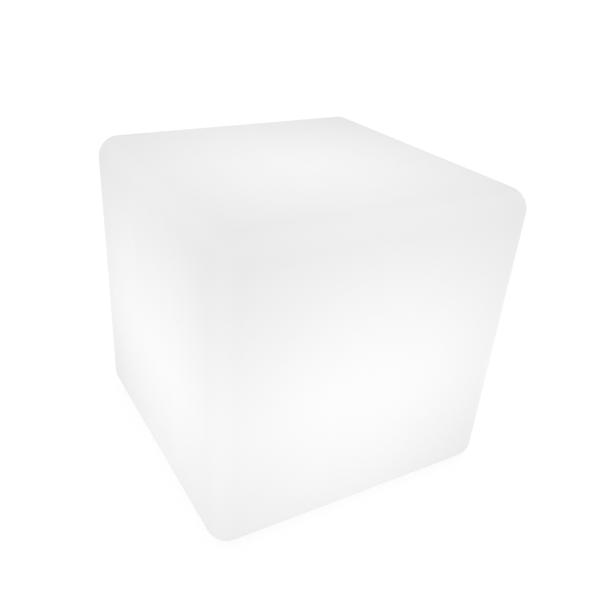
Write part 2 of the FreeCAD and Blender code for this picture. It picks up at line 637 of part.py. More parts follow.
def make_lens_cover():
    """A flanged puck with a bevelled shoulder, hollow underneath."""
    body = new_body("lens_cover", ("0", "0", CUP_RIM))
    sketch = new_sketch(body, "flange_circle")
    add_circle(sketch, CUP_RADIUS)
    pad(body, "flange", sketch, "Sizes.cover_flange_thickness")
    sketch = new_sketch(body, "puck_circle", "Sizes.cover_flange_thickness")
    add_circle(sketch, PUCK_RADIUS)
    pad(body, "puck", sketch, "Sizes.cover_rise")
    inside = f"({PUCK_RADIUS} - Sizes.cover_wall)"
    top = "(Sizes.cover_flange_thickness + Sizes.cover_rise)"
    sketch = new_sketch(body, "hollow_circle")
    add_circle(sketch, inside)
    hollow = pocket_up(body, "hollow", sketch, f"{top} - Sizes.cover_wall")
    edge = edge_near(value(f"{top} - Sizes.cover_wall"), value(inside))
    inner = bevel_edges(body, "inner_shoulder", hollow, "Sizes.cover_bevel - Sizes.cover_wall / 2", edge)
    edge = edge_near(value(top), value(PUCK_RADIUS))
    bevel_edges(body, "shoulder", inner, "Sizes.cover_bevel", edge)
    sketch = new_sketch(body, "screw_circles")
    for x, y in COVER_SCREW_PLACES:
        add_circle(sketch, "Sizes.small_screw_diameter / 2 + Sizes.running_gap", x, y)
    pocket_up(body, "screw_holes", sketch, "Sizes.cover_flange_thickness")
    return body


def make_lens_seal():
    body = new_body("lens_seal", ("0", "0", f"{CUP_RIM} - Sizes.seal_depth"))
    sketch = new_sketch(body, "ring")
    add_circle(sketch, f"{RIM_RADIUS} + Sizes.seal_width / 2")
    add_circle(sketch, f"{RIM_RADIUS} - Sizes.seal_width / 2")
    pad(body, "ring_pad", sketch, "Sizes.seal_depth")
    return body


def make_small_screws(label, places, seat):
    """Screws whose heads sit on a level and whose shanks reach down through what they hold."""
    body = new_body(label, ("0", "0", seat))
    sketch = new_sketch(body, "head_circles")
    for x, y in places:
        add_circle(sketch, "Sizes.small_head_diameter / 2", x, y)
    pad(body, "heads", sketch, "Sizes.small_head_height")
    sketch = new_sketch(body, "shank_circles", "-Sizes.small_screw_length")
    for x, y in places:
        add_circle(sketch, "Sizes.small_screw_diameter / 2", x, y)
    pad(body, "shanks", sketch, "Sizes.small_screw_length")
    return body


# ---- the emitters and the control board ----

def make_led_board():
    body = new_body("led_board", ("0", "0", POST_TOP))
    sketch = new_sketch(body, "disc")
    add_circle(sketch, LED_BOARD_RADIUS)
    for x, y in POST_PLACES:
        add_circle(sketch, "Sizes.small_screw_diameter / 2 + Sizes.running_gap", x, y)
    add_circle(sketch, "Sizes.ribbon_width / 2 + Sizes.running_gap", "0", LEAD_SLOT_Y)
    pad(body, "disc_pad", sketch, "Sizes.board_thickness")
    return body


def make_led_emitters():
    """Two rings of square packages, turned to face outwards."""
    body = new_body("led_emitters", ("0", "0", LED_BOARD_TOP))
    rings = [
        ("outer", "Sizes.outer_ring_diameter / 2", "Sizes.outer_ring_count"),
        ("inner", "Sizes.inner_ring_diameter / 2", "Sizes.inner_ring_count"),
    ]
    for name, radius, count in rings:
        sketch = new_sketch(body, f"{name}_square")
        add_rectangle(sketch, "Sizes.emitter_size / 2", "Sizes.emitter_size / 2", radius)
        first = pad(body, f"{name}_package", sketch, "Sizes.emitter_height")
        pattern(body, f"{name}_ring", [first], count)
    return body


def make_ir_receiver():
    """A small package with a half-round window, in the middle of the emitter board."""
    body = new_body("ir_receiver", ("0", "0", LED_BOARD_TOP))
    sketch = new_sketch(body, "package")
    add_rectangle(sketch, "Sizes.receiver_length / 2", "Sizes.receiver_width / 2")
    pad(body, "package_pad", sketch, "Sizes.receiver_height")
    sketch = new_sketch(body, "window", "Sizes.receiver_window_step")
    add_circle(sketch, "Sizes.receiver_window_diameter / 2", "0", "-Sizes.receiver_window_offset")
    pad(body, "window_pad", sketch, "Sizes.receiver_height - 2 * Sizes.receiver_window_step")
    return body


def make_control_board():
    body = new_body("control_board", ("0", CONTROL_Y, CONTROL_UNDERSIDE))
    sketch = new_sketch(body, "outline")
    add_rectangle(sketch, "Sizes.control_length / 2", "Sizes.control_width / 2")
    for side in ("", "-"):
        add_circle(
            sketch, "Sizes.small_screw_diameter / 2 + Sizes.running_gap",
            f"{side}Sizes.control_post_spacing / 2", "-Sizes.control_post_shift",
        )
    pad(body, "board_pad", sketch, "Sizes.board_thickness")
    return body


def make_controller_chips():
    """The processor, the charger, its coil and two capacitors on the control board."""
    body = new_body("controller_chips", ("0", CONTROL_Y, CONTROL_TOP))
    packages = [
        ("processor", "Sizes.chip_size", "Sizes.chip_height", "0"),
        ("charger", "Sizes.chip_size", "Sizes.chip_height", "-Sizes.chip_spacing"),
        ("coil", "Sizes.coil_size", "Sizes.coil_height", "Sizes.chip_spacing"),
    ]
    for name, size, height, x in packages:
        sketch = new_sketch(body, name)
        add_rectangle(sketch, f"{size} / 2", f"{size} / 2", x, "Sizes.chip_row")
        pad(body, f"{name}_pad", sketch, height)
    sketch = new_sketch(body, "capacitors")
    for side in ("", "-"):
        add_circle(
            sketch, "Sizes.capacitor_diameter / 2",
            f"{side}Sizes.capacitor_spacing / 2", "-Sizes.capacitor_row",
        )
    pad(body, "capacitors_pad", sketch, "Sizes.capacitor_height")
    return body


# ---- the button ----

BUTTON_COLLAR = "(Sizes.flange_thickness + Sizes.button_stop_gap)"
BUTTON_STEM_TOP = f"({BUTTON_COLLAR} + Sizes.button_collar_height + Sizes.button_stem_height)"
BUTTON_GROOVE = "(Sizes.flange_thickness / 2)"


def button_place():
    return ("0", CONTROL_Y, FLANGE_UNDERSIDE)


def make_power_button():
    """A round cap with a dished face, a seal groove, a collar inside the floor and a stem."""
    body = new_body("power_button", button_place())
    radius = "Sizes.button_diameter / 2"
    groove = f"{radius} - Sizes.seal_width + Sizes.fit_gap"
    half_seal = "Sizes.seal_width / 2"
    low = f"{BUTTON_GROOVE} - {half_seal}"
    high = f"{BUTTON_GROOVE} + {half_seal}"
    collar = f"{radius} + Sizes.button_collar_width"
    collar_top = f"{BUTTON_COLLAR} + Sizes.button_collar_height"
    proud = "-Sizes.button_proud"
    edge = "Sizes.button_edge"
    # The flat ring round the dish and the dish's slope are each one band wide.
    band = f"2 * {edge}"
    dish = f"({radius} - {edge} - 2 * {band})"
    sketch = new_sketch(body, "button_profile", role="XZ_Plane")
    add_outline(sketch, [
        ("0", f"{proud} + {edge}"), (dish, f"{proud} + {edge}"), (f"{dish} + {band}", proud),
        (f"{radius} - {edge}", proud), (radius, f"{proud} + {edge}"), (radius, low), (groove, low),
        (groove, high), (radius, high), (radius, BUTTON_COLLAR), (collar, BUTTON_COLLAR),
        (collar, collar_top), ("Sizes.button_stem_diameter / 2", collar_top),
        ("Sizes.button_stem_diameter / 2", BUTTON_STEM_TOP), ("0", BUTTON_STEM_TOP),
    ])
    revolve(body, "button", sketch)
    return body


def make_button_seal():
    body = new_body("button_seal", button_place())
    inner = "Sizes.button_diameter / 2 - Sizes.seal_width + Sizes.fit_gap"
    outer = "Sizes.button_diameter / 2 + Sizes.running_gap / 2"
    sketch = new_sketch(body, "ring", f"{BUTTON_GROOVE} - Sizes.seal_width / 2")
    add_circle(sketch, outer)
    add_circle(sketch, inner)
    pad(body, "ring_pad", sketch, "Sizes.seal_width")
    return body


def make_switch_plunger():
    body = new_body("switch_plunger", button_place())
    sketch = new_sketch(body, "rod", BUTTON_STEM_TOP)
    add_circle(sketch, "Sizes.plunger_diameter / 2")
    pad(body, "rod_pad", sketch, "Sizes.plunger_length")
    return body


def make_push_switch():
    """The switch body hangs under the control board, open below for its plunger."""
    body = new_body("push_switch", button_place())
    bottom = f"({BUTTON_STEM_TOP} + Sizes.button_travel - Sizes.switch_mouth)"
    top = f"({CONTROL_UNDERSIDE} - {FLANGE_UNDERSIDE})"
    sketch = new_sketch(body, "square", bottom)
    add_rectangle(sketch, "Sizes.switch_size / 2", "Sizes.switch_size / 2")
    pad(body, "case", sketch, f"{top} - {bottom}")
    sketch = new_sketch(body, "plunger_hole", bottom)
    add_circle(sketch, "Sizes.plunger_diameter / 2 + Sizes.running_gap")
    depth = "Sizes.switch_mouth + Sizes.plunger_length + 2 * Sizes.running_gap"
    pocket_up(body, "plunger_cut", sketch, depth)
    sketch = new_sketch(body, "stem_relief", bottom)
    add_circle(sketch, "Sizes.button_stem_diameter / 2 + Sizes.running_gap")
    pocket_up(body, "stem_cut", sketch, "Sizes.switch_mouth + Sizes.running_gap")
    return body


def make_charge_indicator():
    """A light pipe from the board to the underside, with a collar on the floor."""
    place = ("Sizes.indicator_x", f"{CONTROL_Y} + Sizes.indicator_y", FLANGE_UNDERSIDE)
    body = new_body("charge_indicator", place)
    sketch = new_sketch(body, "rod")
    add_circle(sketch, "Sizes.indicator_diameter / 2")
    pad(body, "rod_pad", sketch, f"{CONTROL_UNDERSIDE} - {FLANGE_UNDERSIDE}")
    sketch = new_sketch(body, "collar", "Sizes.flange_thickness")
    add_circle(sketch, "Sizes.indicator_collar / 2")
    pad(body, "collar_pad", sketch, "Sizes.indicator_collar_height")
    return body


# ---- the charging port ----

def port_place(level):
    return ("0", "-Sizes.port_offset", level)


def make_charge_socket():
    """A panel socket: collar outside the floor, threaded body and two terminals inside."""
    body = new_body("charge_socket", port_place(SOCKET_MOUTH))
    collar = "Sizes.socket_collar_height"
    length = f"{collar} + Sizes.socket_length"
    sketch = new_sketch(body, "collar_circle")
    add_circle(sketch, "Sizes.socket_collar_diameter / 2")
    pad(body, "collar", sketch, collar)
    sketch = new_sketch(body, "thread_circle", collar)
    add_circle(sketch, "Sizes.socket_thread_diameter / 2")
    pad(body, "thread", sketch, "Sizes.socket_length")
    sketch = new_sketch(body, "terminals", length)
    for side in ("", "-"):
        add_rectangle(
            sketch, "Sizes.terminal_thickness / 2", "Sizes.terminal_width / 2",
            f"{side}Sizes.terminal_spacing / 2",
        )
    pad(body, "terminals_pad", sketch, "Sizes.terminal_length")
    sketch = new_sketch(body, "bore")
    add_circle(sketch, "Sizes.socket_bore_diameter / 2")
    pocket_up(body, "bore_cut", sketch, "Sizes.socket_bore_depth")
    return body


def make_charge_socket_pin():
    body = new_body("charge_socket_pin", port_place(SOCKET_MOUTH))
    sketch = new_sketch(body, "pin", "Sizes.socket_pin_setback")
    add_circle(sketch, "Sizes.socket_pin_diameter / 2")
    pad(body, "pin_pad", sketch, "Sizes.socket_bore_depth - Sizes.socket_pin_setback")
    return body


def make_socket_washer():
    body = new_body("socket_washer", port_place(f"{PORT_FLOOR} - Sizes.washer_thickness"))
    sketch = new_sketch(body, "ring")
    add_circle(sketch, "Sizes.socket_collar_diameter / 2 + Sizes.washer_margin")
    add_circle(sketch, "Sizes.socket_thread_diameter / 2 + Sizes.fit_gap")
    pad(body, "ring_pad", sketch, "Sizes.washer_thickness")
    return body


def make_socket_nut():
    """A hexagon that clamps the socket on the inside of the port boss."""
    body = new_body("socket_nut", port_place(PORT_BOSS_TOP))
    sketch = new_sketch(body, "hexagon")
    corner = "(Sizes.nut_width / 2 / cos(30))"
    add_outline(sketch, [
        (f"{corner} * cos({60 * step})", f"{corner} * sin({60 * step})") for step in range(6)
    ])
    add_circle(sketch, "Sizes.socket_thread_diameter / 2 + Sizes.fit_gap")
    pad(body, "nut_pad", sketch, "Sizes.nut_height")
    return body


STRAP_LOW = "((Sizes.plug_cap_thickness - Sizes.strap_thickness) / 2)"
STRAP_MIDDLE = "(Sizes.plug_cap_thickness / 2)"


def add_strap(body, name, start, end):
    """A flat stretch of the strap between two distances from the port."""
    sketch = new_sketch(body, f"{name}_side", role="XZ_Plane")
    high = f"{STRAP_LOW} + Sizes.strap_thickness"
    add_outline(sketch, [(start, STRAP_LOW), (end, STRAP_LOW), (end, high), (start, high)])
    return pad(body, name, sketch, "Sizes.strap_width", Midplane=True)


def make_port_plug():
    """The stopper: a cap with a hollow nub, a pull tab, and a strap up to its bend."""
    body = new_body("port_plug", port_place(FLANGE_UNDERSIDE))
    cap = "Sizes.plug_cap_diameter / 2"
    thick = "Sizes.plug_cap_thickness"
    tip = f"{thick} + Sizes.plug_nub_length"
    sketch = new_sketch(body, "plug_profile", role="XZ_Plane")
    add_outline(sketch, [
        ("0", "0"), (f"{cap} - Sizes.plug_bevel", "0"), (cap, "Sizes.plug_bevel"), (cap, thick),
        ("Sizes.plug_nub_diameter / 2", thick), ("Sizes.plug_tip_diameter / 2", tip),
        ("Sizes.plug_nub_bore / 2", tip), ("Sizes.plug_nub_bore / 2", thick), ("0", thick),
    ])
    revolve(body, "plug", sketch)
    add_strap(body, "strap", f"{cap} - Sizes.plug_root", "Sizes.strap_length")
    sketch = new_sketch(body, "bend_circle", role="XZ_Plane")
    add_circle(sketch, "Sizes.strap_thickness / 2", "Sizes.strap_length", STRAP_MIDDLE)
    pad(body, "bend", sketch, "Sizes.strap_width", Midplane=True)
    add_strap(body, "tab", f"-({cap} + Sizes.plug_tab_reach)", f"-({cap} - Sizes.plug_root)")
    return body


def make_plug_anchor():
    """The strap's fixed end: a stub, a round head and a barbed stem in the floor."""
    body = new_body("plug_anchor", port_place(FLANGE_UNDERSIDE))
    high = f"{STRAP_LOW} + Sizes.strap_thickness"
    stem = f"{ANCHOR_X} + Sizes.anchor_stem_diameter / 2"
    barb = f"{ANCHOR_X} + Sizes.anchor_barb_diameter / 2"
    head = f"{ANCHOR_X} + Sizes.anchor_head_diameter / 2"
    tip = f"{ANCHOR_X} + Sizes.anchor_tip_diameter / 2"
    middle = f"{high} + Sizes.anchor_depth / 2"
    top = f"{high} + Sizes.anchor_depth"
    sketch = new_sketch(body, "anchor_profile", role="XZ_Plane")
    add_outline(sketch, [
        (ANCHOR_X, STRAP_LOW), (head, STRAP_LOW), (head, high), (stem, high),
        (stem, middle), (barb, middle), (tip, top), (ANCHOR_X, top),
    ])
    add_axis(sketch, ANCHOR_X)
    revolve(body, "anchor", sketch, "Axis0")
    stub_start = "Sizes.strap_length + Sizes.strap_thickness / 2 + Sizes.bend_gap"
    add_strap(body, "stub", stub_start, ANCHOR_X)
    return body


# ---- the battery ----

def make_battery_cell(label, side):
    """A round cell along X."""
    body = new_body(label, ("0", f"{side}Sizes.cell_pitch / 2", CELL_AXIS))
    sketch = new_sketch(body, "can_circle", role="YZ_Plane")
    add_circle(sketch, "Sizes.cell_diameter / 2")
    pad(body, "can", sketch, "Sizes.cell_length", Midplane=True)
    return body


def make_battery_wrap():
    """A sleeve that is drawn tight round both cells."""
    body = new_body("battery_wrap", ("0", "0", CELL_AXIS))
    half = "Sizes.cell_pitch / 2"
    inside = "(Sizes.cell_diameter / 2 + Sizes.fit_gap)"
    length = "Sizes.cell_length - 2 * Sizes.wrap_setback"
    sketch = new_sketch(body, "round_sides", role="YZ_Plane")
    add_circle(sketch, WRAP_RADIUS, half)
    pad(body, "left_side", sketch, length, Midplane=True)
    sketch = new_sketch(body, "other_side", role="YZ_Plane")
    add_circle(sketch, WRAP_RADIUS, f"-{half}")
    pad(body, "right_side", sketch, length, Midplane=True)
    sketch = new_sketch(body, "flat_sides", role="YZ_Plane")
    add_rectangle(sketch, half, WRAP_RADIUS)
    pad(body, "bridge", sketch, length, Midplane=True)
    for name, place in (("left_room", half), ("right_room", f"-{half}")):
        sketch = new_sketch(body, f"{name}_circle", role="YZ_Plane")
        add_circle(sketch, inside, place)
        feature(body, "Pocket", name, sketch, Length="Sizes.cell_length", Midplane=True)
    return body


def make_battery_tabs():
    """One strip joins the cells at the far end, two short ones carry the leads."""
    body = new_body("battery_tabs", ("0", "0", CELL_AXIS))
    end = "Sizes.cell_length / 2"
    half_strip = "Sizes.tab_width / 2"
    sketch = new_sketch(body, "lead_tabs", end, "YZ_Plane")
    for side in ("", "-"):
        add_rectangle(sketch, half_strip, half_strip, f"{side}Sizes.cell_pitch / 2")
    pad(body, "lead_tabs_pad", sketch, "Sizes.tab_thickness")
    sketch = new_sketch(body, "bridge", f"-({end} + Sizes.tab_thickness)", "YZ_Plane")
    add_rectangle(sketch, f"Sizes.cell_pitch / 2 + {half_strip}", half_strip)
    pad(body, "bridge_pad", sketch, "Sizes.tab_thickness")
    return body


def make_battery_pad():
    body = new_body("battery_pad", ("0", "0", WRAP_TOP))
    sketch = new_sketch(body, "outline")
    add_rectangle(sketch, "Sizes.pad_length / 2", "Sizes.pad_width / 2")
    pad(body, "foam", sketch, f"{POST_TOP} - {WRAP_TOP}")
    return body


# ---- the leads inside the module ----

def bent_path(spots, bend):
    """Straight runs through the spots, joined by arcs of one radius."""
    edges = []
    start = spots[0]
    for before, corner, after in zip(spots, spots[1:], spots[2:]):
        back = (before - corner).normalize()
        ahead = (after - corner).normalize()
        half_angle = back.getAngle(ahead) / 2
        inward = (back + ahead).normalize()
        first = corner + back * (bend / math.tan(half_angle))
        last = corner + ahead * (bend / math.tan(half_angle))
        middle = corner + inward * (bend / math.sin(half_angle) - bend)
        edges.append(Part.LineSegment(start, first).toShape())
        edges.append(Part.Arc(first, middle, last).toShape())
        start = last
    edges.append(Part.LineSegment(start, spots[-1]).toShape())
    return Part.Wire(edges)


def lead_solid(places, width):
    """One flat lead: its section stands square to its first run."""
    spots = [Vector(*(value(item) for item in place)) for place in places]
    along = (spots[1] - spots[0]).normalize()
    across = Vector(0, 1, 0) if abs(along.x) > 0.5 else Vector(1, 0, 0)
    aside = along.cross(across)
    half_width = across * (value(width) / 2)
    half_thickness = aside * (value("Sizes.ribbon_thickness") / 2)
    corners = [
        spots[0] + half_width + half_thickness, spots[0] - half_width + half_thickness,
        spots[0] - half_width - half_thickness, spots[0] + half_width - half_thickness,
    ]
    section = Part.makePolygon(corners + corners[:1])
    return bent_path(spots, value("Sizes.ribbon_bend")).makePipeShell([section], True, False)


def make_leads(label, routes, width):
    """The leads of one pair or ribbon, as one group of solids."""
    solids = [lead_solid(places, width) for places in routes]
    piece = doc.addObject("Part::Feature", label)
    piece.Label = label
    piece.Shape = solids[0] if len(solids) == 1 else Part.makeCompound(solids)
    return piece


def battery_routes():
    """From each tab out, up over the sleeve and down to the control board."""
    tab = "Sizes.cell_length / 2 + Sizes.tab_thickness"
    out = f"{tab} + Sizes.lead_slack"
    routes = []
    for side, pitches in (("", 2.5), ("-", 1.5)):
        tab_y = f"{side}Sizes.cell_pitch / 2"
        board_x = f"{pitches} * Sizes.lead_pitch"
        routes.append([
            (tab, tab_y, CELL_AXIS), (out, tab_y, CELL_AXIS), (out, tab_y, LEAD_HEIGHT),
            (board_x, LEAD_Y, LEAD_HEIGHT), (board_x, LEAD_Y, CONTROL_TOP),
        ])
    return routes


def socket_routes():
    """From the socket's terminals up, past the foam pad and down to the control board."""
    start = f"{SOCKET_MOUTH} + Sizes.socket_collar_height + Sizes.socket_length + Sizes.terminal_length"
    beside = "(Sizes.pad_width / 2 + Sizes.lead_pitch)"
    routes = []
    for side, spreads, pitches in (("-", 2, 2.5), ("", 1, 1.5)):
        terminal = f"{side}Sizes.terminal_spacing / 2"
        aside = f"-(Sizes.pad_length / 2 + {spreads} * Sizes.lead_spread)"
        board_x = f"-{pitches} * Sizes.lead_pitch"
        routes.append([
            (terminal, "-Sizes.port_offset", start), (terminal, "-Sizes.port_offset", LEAD_HEIGHT),
            (aside, f"-{beside}", LEAD_HEIGHT), (aside, beside, LEAD_HEIGHT),
            (board_x, LEAD_Y, LEAD_HEIGHT), (board_x, LEAD_Y, CONTROL_TOP),
        ])
    return routes


def led_routes():
    """From the control board up through the emitter board's slot."""
    middle = f"({CONTROL_TOP} + {POST_TOP}) / 2"
    return [[
        ("0", LEAD_Y, CONTROL_TOP), ("0", LEAD_Y, f"{middle} - Sizes.lead_rise / 2"),
        ("0", LEAD_SLOT_Y, f"{middle} + Sizes.lead_rise / 2"),
        ("0", LEAD_SLOT_Y, f"{LED_BOARD_TOP} + Sizes.solder_height"),
    ]]


def check_everything(pieces):
    for item in doc.Objects:
        if "Invalid" in item.State or "Error" in item.State:
            raise RuntimeError(f"{item.Label} did not recompute")
    for piece in pieces:
        if piece.Shape.isNull() or not piece.Shape.isValid() or not piece.Shape.Solids:
            raise RuntimeError(f"{piece.Label} has no sound shape")


pieces = [
    make_shell(),
    make_insert_nuts(),
    make_module_gasket(),
    make_module_screws(),
    make_module_base(),
    make_lens_cover(),
    make_lens_seal(),
    make_small_screws("lens_screws", COVER_SCREW_PLACES, COVER_FLANGE_TOP),
    make_led_board(),
    make_led_emitters(),
    make_small_screws("led_board_screws", POST_PLACES, LED_BOARD_TOP),
    make_ir_receiver(),
    make_control_board(),
    make_controller_chips(),
    make_small_screws("board_screws", CONTROL_POST_PLACES, CONTROL_TOP),
    make_power_button(),
    make_button_seal(),
    make_switch_plunger(),
    make_push_switch(),
    make_charge_indicator(),
    make_charge_socket(),
    make_charge_socket_pin(),
    make_socket_washer(),
    make_socket_nut(),
    make_port_plug(),
    make_plug_anchor(),
    make_battery_cell("battery_cell_left", "-"),
    make_battery_cell("battery_cell_right", ""),
    make_battery_wrap(),
    make_battery_tabs(),
    make_battery_pad(),
    make_leads("battery_leads", battery_routes(), "Sizes.ribbon_thickness"),
    make_leads("socket_leads", socket_routes(), "Sizes.ribbon_thickness"),
    make_leads("led_leads", led_routes(), "Sizes.ribbon_width"),
]

doc.recompute()
check_everything(pieces)
os.makedirs("parts", exist_ok=True)
for piece in pieces:
    piece.Shape.exportStep(f"parts/{piece.Label}.step")
    solids = piece.Shape.Solids
    print(f"{piece.Label}: {len(solids)} solid(s), {sum(s.Volume for s in solids):.0f} mm3")
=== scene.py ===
import json
import math

import bmesh
import bpy
from bpy.props import FloatProperty, FloatVectorProperty, IntProperty, PointerProperty
from mathutils import Matrix, Vector


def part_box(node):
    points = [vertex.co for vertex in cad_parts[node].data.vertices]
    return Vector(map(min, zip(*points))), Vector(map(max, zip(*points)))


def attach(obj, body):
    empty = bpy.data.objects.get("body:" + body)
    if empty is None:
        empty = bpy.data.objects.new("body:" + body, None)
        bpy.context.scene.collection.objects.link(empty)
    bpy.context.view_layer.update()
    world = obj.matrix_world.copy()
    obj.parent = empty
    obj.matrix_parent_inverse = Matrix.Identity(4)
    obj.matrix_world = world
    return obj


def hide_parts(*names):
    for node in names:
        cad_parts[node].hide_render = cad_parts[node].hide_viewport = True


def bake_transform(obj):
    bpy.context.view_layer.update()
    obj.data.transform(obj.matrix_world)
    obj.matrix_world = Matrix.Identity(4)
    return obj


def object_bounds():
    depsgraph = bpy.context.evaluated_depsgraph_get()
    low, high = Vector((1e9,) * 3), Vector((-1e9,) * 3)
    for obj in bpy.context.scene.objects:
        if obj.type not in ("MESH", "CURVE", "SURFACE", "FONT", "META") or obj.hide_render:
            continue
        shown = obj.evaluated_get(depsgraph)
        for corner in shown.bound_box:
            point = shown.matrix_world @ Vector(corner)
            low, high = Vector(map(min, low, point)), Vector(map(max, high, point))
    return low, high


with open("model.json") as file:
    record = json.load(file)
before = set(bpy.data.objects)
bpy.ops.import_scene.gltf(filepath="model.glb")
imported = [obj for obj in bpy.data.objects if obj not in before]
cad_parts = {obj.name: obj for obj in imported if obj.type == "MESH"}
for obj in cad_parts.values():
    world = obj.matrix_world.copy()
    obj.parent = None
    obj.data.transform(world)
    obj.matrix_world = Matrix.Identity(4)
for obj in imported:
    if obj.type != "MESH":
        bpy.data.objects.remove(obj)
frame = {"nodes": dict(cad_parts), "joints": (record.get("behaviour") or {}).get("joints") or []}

bl_info = {
    "name": "LED Cube Light",
    "version": (1, 0, 0),
    "blender": (4, 5, 0),
    "location": "View3D > Sidebar > Cube Light",
    "description": "Dresses a glowing cube light: moulded shell, light module, button, stopper and studio",
    "category": "Object",
}

CAD_BOX = [list(corner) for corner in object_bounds()]
NODES = frame["nodes"]
MILLIMETRE = 0.001

SHELL_LOW, SHELL_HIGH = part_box("cube_shell")
# The screw heads end at the underside of the module's flange, and its gasket at the well's roof.
FLANGE_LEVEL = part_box("module_base")[0].z
SEAT_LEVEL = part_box("module_gasket")[1].z

# Finishes that a modelled piece shares with solids of its kind.
STEEL, SILICONE = "stainless_steel", "stopper_silicone"
WHITE = (1.0, 1.0, 1.0, 1.0)

# Two places closer than the first are one, and an edge shorter than the second is none.
SAME_PLACE, NO_EDGE = 1e-6, 1e-7


# ---- settings ----

def length(name, text, millimetres):
    """A size, given in millimetres."""
    return FloatProperty(
        name=name, description=text, default=millimetres * MILLIMETRE,
        unit="LENGTH", subtype="DISTANCE", precision=5, min=0.0,
    )


def factor(name, text, default, top=1.0):
    """A plain number from 0 to the top."""
    return FloatProperty(name=name, description=text, default=default, min=0.0, max=top, precision=4)


def whole(name, text, default, least, most):
    """A count."""
    return IntProperty(name=name, description=text, default=default, min=least, max=most)


def tint(name, text, default):
    """A colour."""
    return FloatVectorProperty(
        name=name, description=text, default=default, subtype="COLOR", size=3, min=0.0, max=1.0,
    )


def location(name, text, default):
    """A place in the object's frame, in metres."""
    return FloatVectorProperty(
        name=name, description=text, default=default, subtype="TRANSLATION", unit="LENGTH", size=3,
    )


def tilt(name, text, degrees):
    """An angle, given in degrees."""
    return FloatProperty(
        name=name, description=text, default=math.radians(degrees), subtype="ANGLE", unit="ROTATION",
    )


class CubeShellSettings(bpy.types.PropertyGroup):
    """Sizes of the moulded shell, which follow the solid."""
    edge_radius: length("Edge radius", "Outer radius of every edge", 28)
    wall: length("Wall", "Thickness of the moulded wall", 3.5)
    rim_width: length("Rim width", "Flat standing rim round the underside", 14)
    recess_depth: length("Recess depth", "Underside panel above the ground", 4)
    recess_corner: length("Recess corner", "Corner radius of the underside panel", 30)
    well_radius: length("Well radius", "Round well in the underside", 64)
    hole_radius: length("Hole radius", "Hole in the well's roof", 48.5)
    soft_edge: length("Soft edge", "Small radius that a mould leaves at inner corners", 1.6)
    corner_steps: whole("Corner steps", "Faces across each rounded edge", 14, 2, 64)
    side_steps: whole("Side steps", "Faces along each straight side", 16, 2, 128)


class CubeGlowSettings(bpy.types.PropertyGroup):
    """How the light inside shows through the wall, and a painted highlight on its rounded edges."""
    plastic: tint("Plastic", "Colour of the unlit plastic", (0.66, 0.66, 0.66))
    warmth: tint("Glow colour", "Colour of the light inside", (1.0, 1.0, 1.0))
    # Painted side light: the source lies off the module's axis, mostly towards +X, so the +X side glows
    # brighter than the -X side.
    source: location("Source", "Middle of the light that fills the cube", (0.0334, -0.0124, 0.1751))
    flatten: factor("Flatten", "How much faster the light falls off upwards than sideways", 1.1668, 3.0)
    roundness: factor(
        "Roundness", "2 makes the pool of light a ball, and less points it up and down", 1.6, 4.0)
    reach: length("Reach", "Distance over which the light fades", 354.9)
    base: factor("Base glow", "Even part of the glow", 0.02)
    gain: factor("Gain", "Part of the glow that fades with distance", 0.3655)
    # Painted highlight: this brightens the glow along every rounded edge.
    edge: factor("Painted edge highlight", "Painted highlight along a rounded edge", 0.0308)
    underside: factor("Underside", "Share of the glow that the faces turned to the ground lose", 0.58)
    module_shade: factor("Module shade", "Share of the glow that the module keeps from its well", 0.7)
    shade_start: length("Shade start", "Distance from the middle within which the well is in full shade", 70)
    shade_end: length("Shade end", "Distance from the middle at which the shade ends", 130)


class CubeModuleSettings(bpy.types.PropertyGroup):
    """Finish of the light module in the underside."""
    housing: tint("Housing", "Colour of the moulded housing", (0.72, 0.72, 0.715))
    button: tint("Button", "Colour of the button", (0.28, 0.29, 0.30))
    stopper: tint("Stopper", "Colour of the soft stopper", (0.50, 0.51, 0.52))


class CubeScrewSettings(bpy.types.PropertyGroup):
    """The screws that hold the light module."""
    count: whole("Screws", "Screws on the module's circle", 6, 1, 24)
    head_radius: length("Head radius", "Outer radius of a head", 4)
    shank_radius: length("Shank radius", "Outer radius of the thread", 1.97)
    point: length("Point", "Length of the tapered end", 0.8)
    cross_reach: length("Cross reach", "Axis to the end of each arm of the cross", 2.25)
    cross_width: length("Cross width", "Width of each arm of the cross", 1.05)
    cross_depth: length("Cross depth", "Depth of the cross in the head", 1.3)


class CubeStrapSettings(bpy.types.PropertyGroup):
    """The soft strap of the stopper, just inside the solid one."""
    width: length("Width", "Width of the strap", 4.88)
    thickness: length("Thickness", "Thickness of the strap", 1.16)
    cap_run: length("Run to the cap", "Bend to the strap's end at the cap", 2.6)
    bend: length("Bend", "Length of strap that turns with the stopper", 2.8)
    anchor_run: length("Run into the anchor", "How far the strap runs into its anchor", 1)


class CubeStudioSettings(bpy.types.PropertyGroup):
    """Camera and plain studio light."""
    lens: FloatProperty(name="Lens", description="Focal length", default=39.595, unit="CAMERA", min=1.0)
    camera_place: location("Camera place", "Where the camera stands", (0.6889, -0.4243, 0.6273))
    camera_heading: tilt("Heading", "Turn of the view from the Y axis", 60.346)
    camera_pitch: tilt("Pitch", "How far the camera looks down", 29.504)
    camera_roll: tilt("Roll", "Tilt of the camera to its left", 2.947)
    shift_x: FloatProperty(name="Shift X", description="Sideways lens shift", default=0.06, precision=4)
    shift_y: FloatProperty(name="Shift Y", description="Upward lens shift", default=0.0184, precision=4)
    sky: factor("Sky", "Strength of the even light", 1.0, 4.0)
    floor_tone: factor("Floor tone", "How much of the floor's brightness is lit, the rest is its own", 0.30)
    floor_size: FloatProperty(
        name="Floor size", description="Side of the floor", default=60.0, unit="LENGTH", min=1.0,
    )


# ---- node helpers ----

FLOAT, COLOUR, VECTOR = "NodeSocketFloat", "NodeSocketColor", "NodeSocketVector"

# A mix node has sockets for each kind of value, and these are the places of the colour ones.
MIX_FIRST, MIX_SECOND, MIX_RESULT = 6, 7, 2

# The range of a mask.
FULL = (0.0, 1.0)


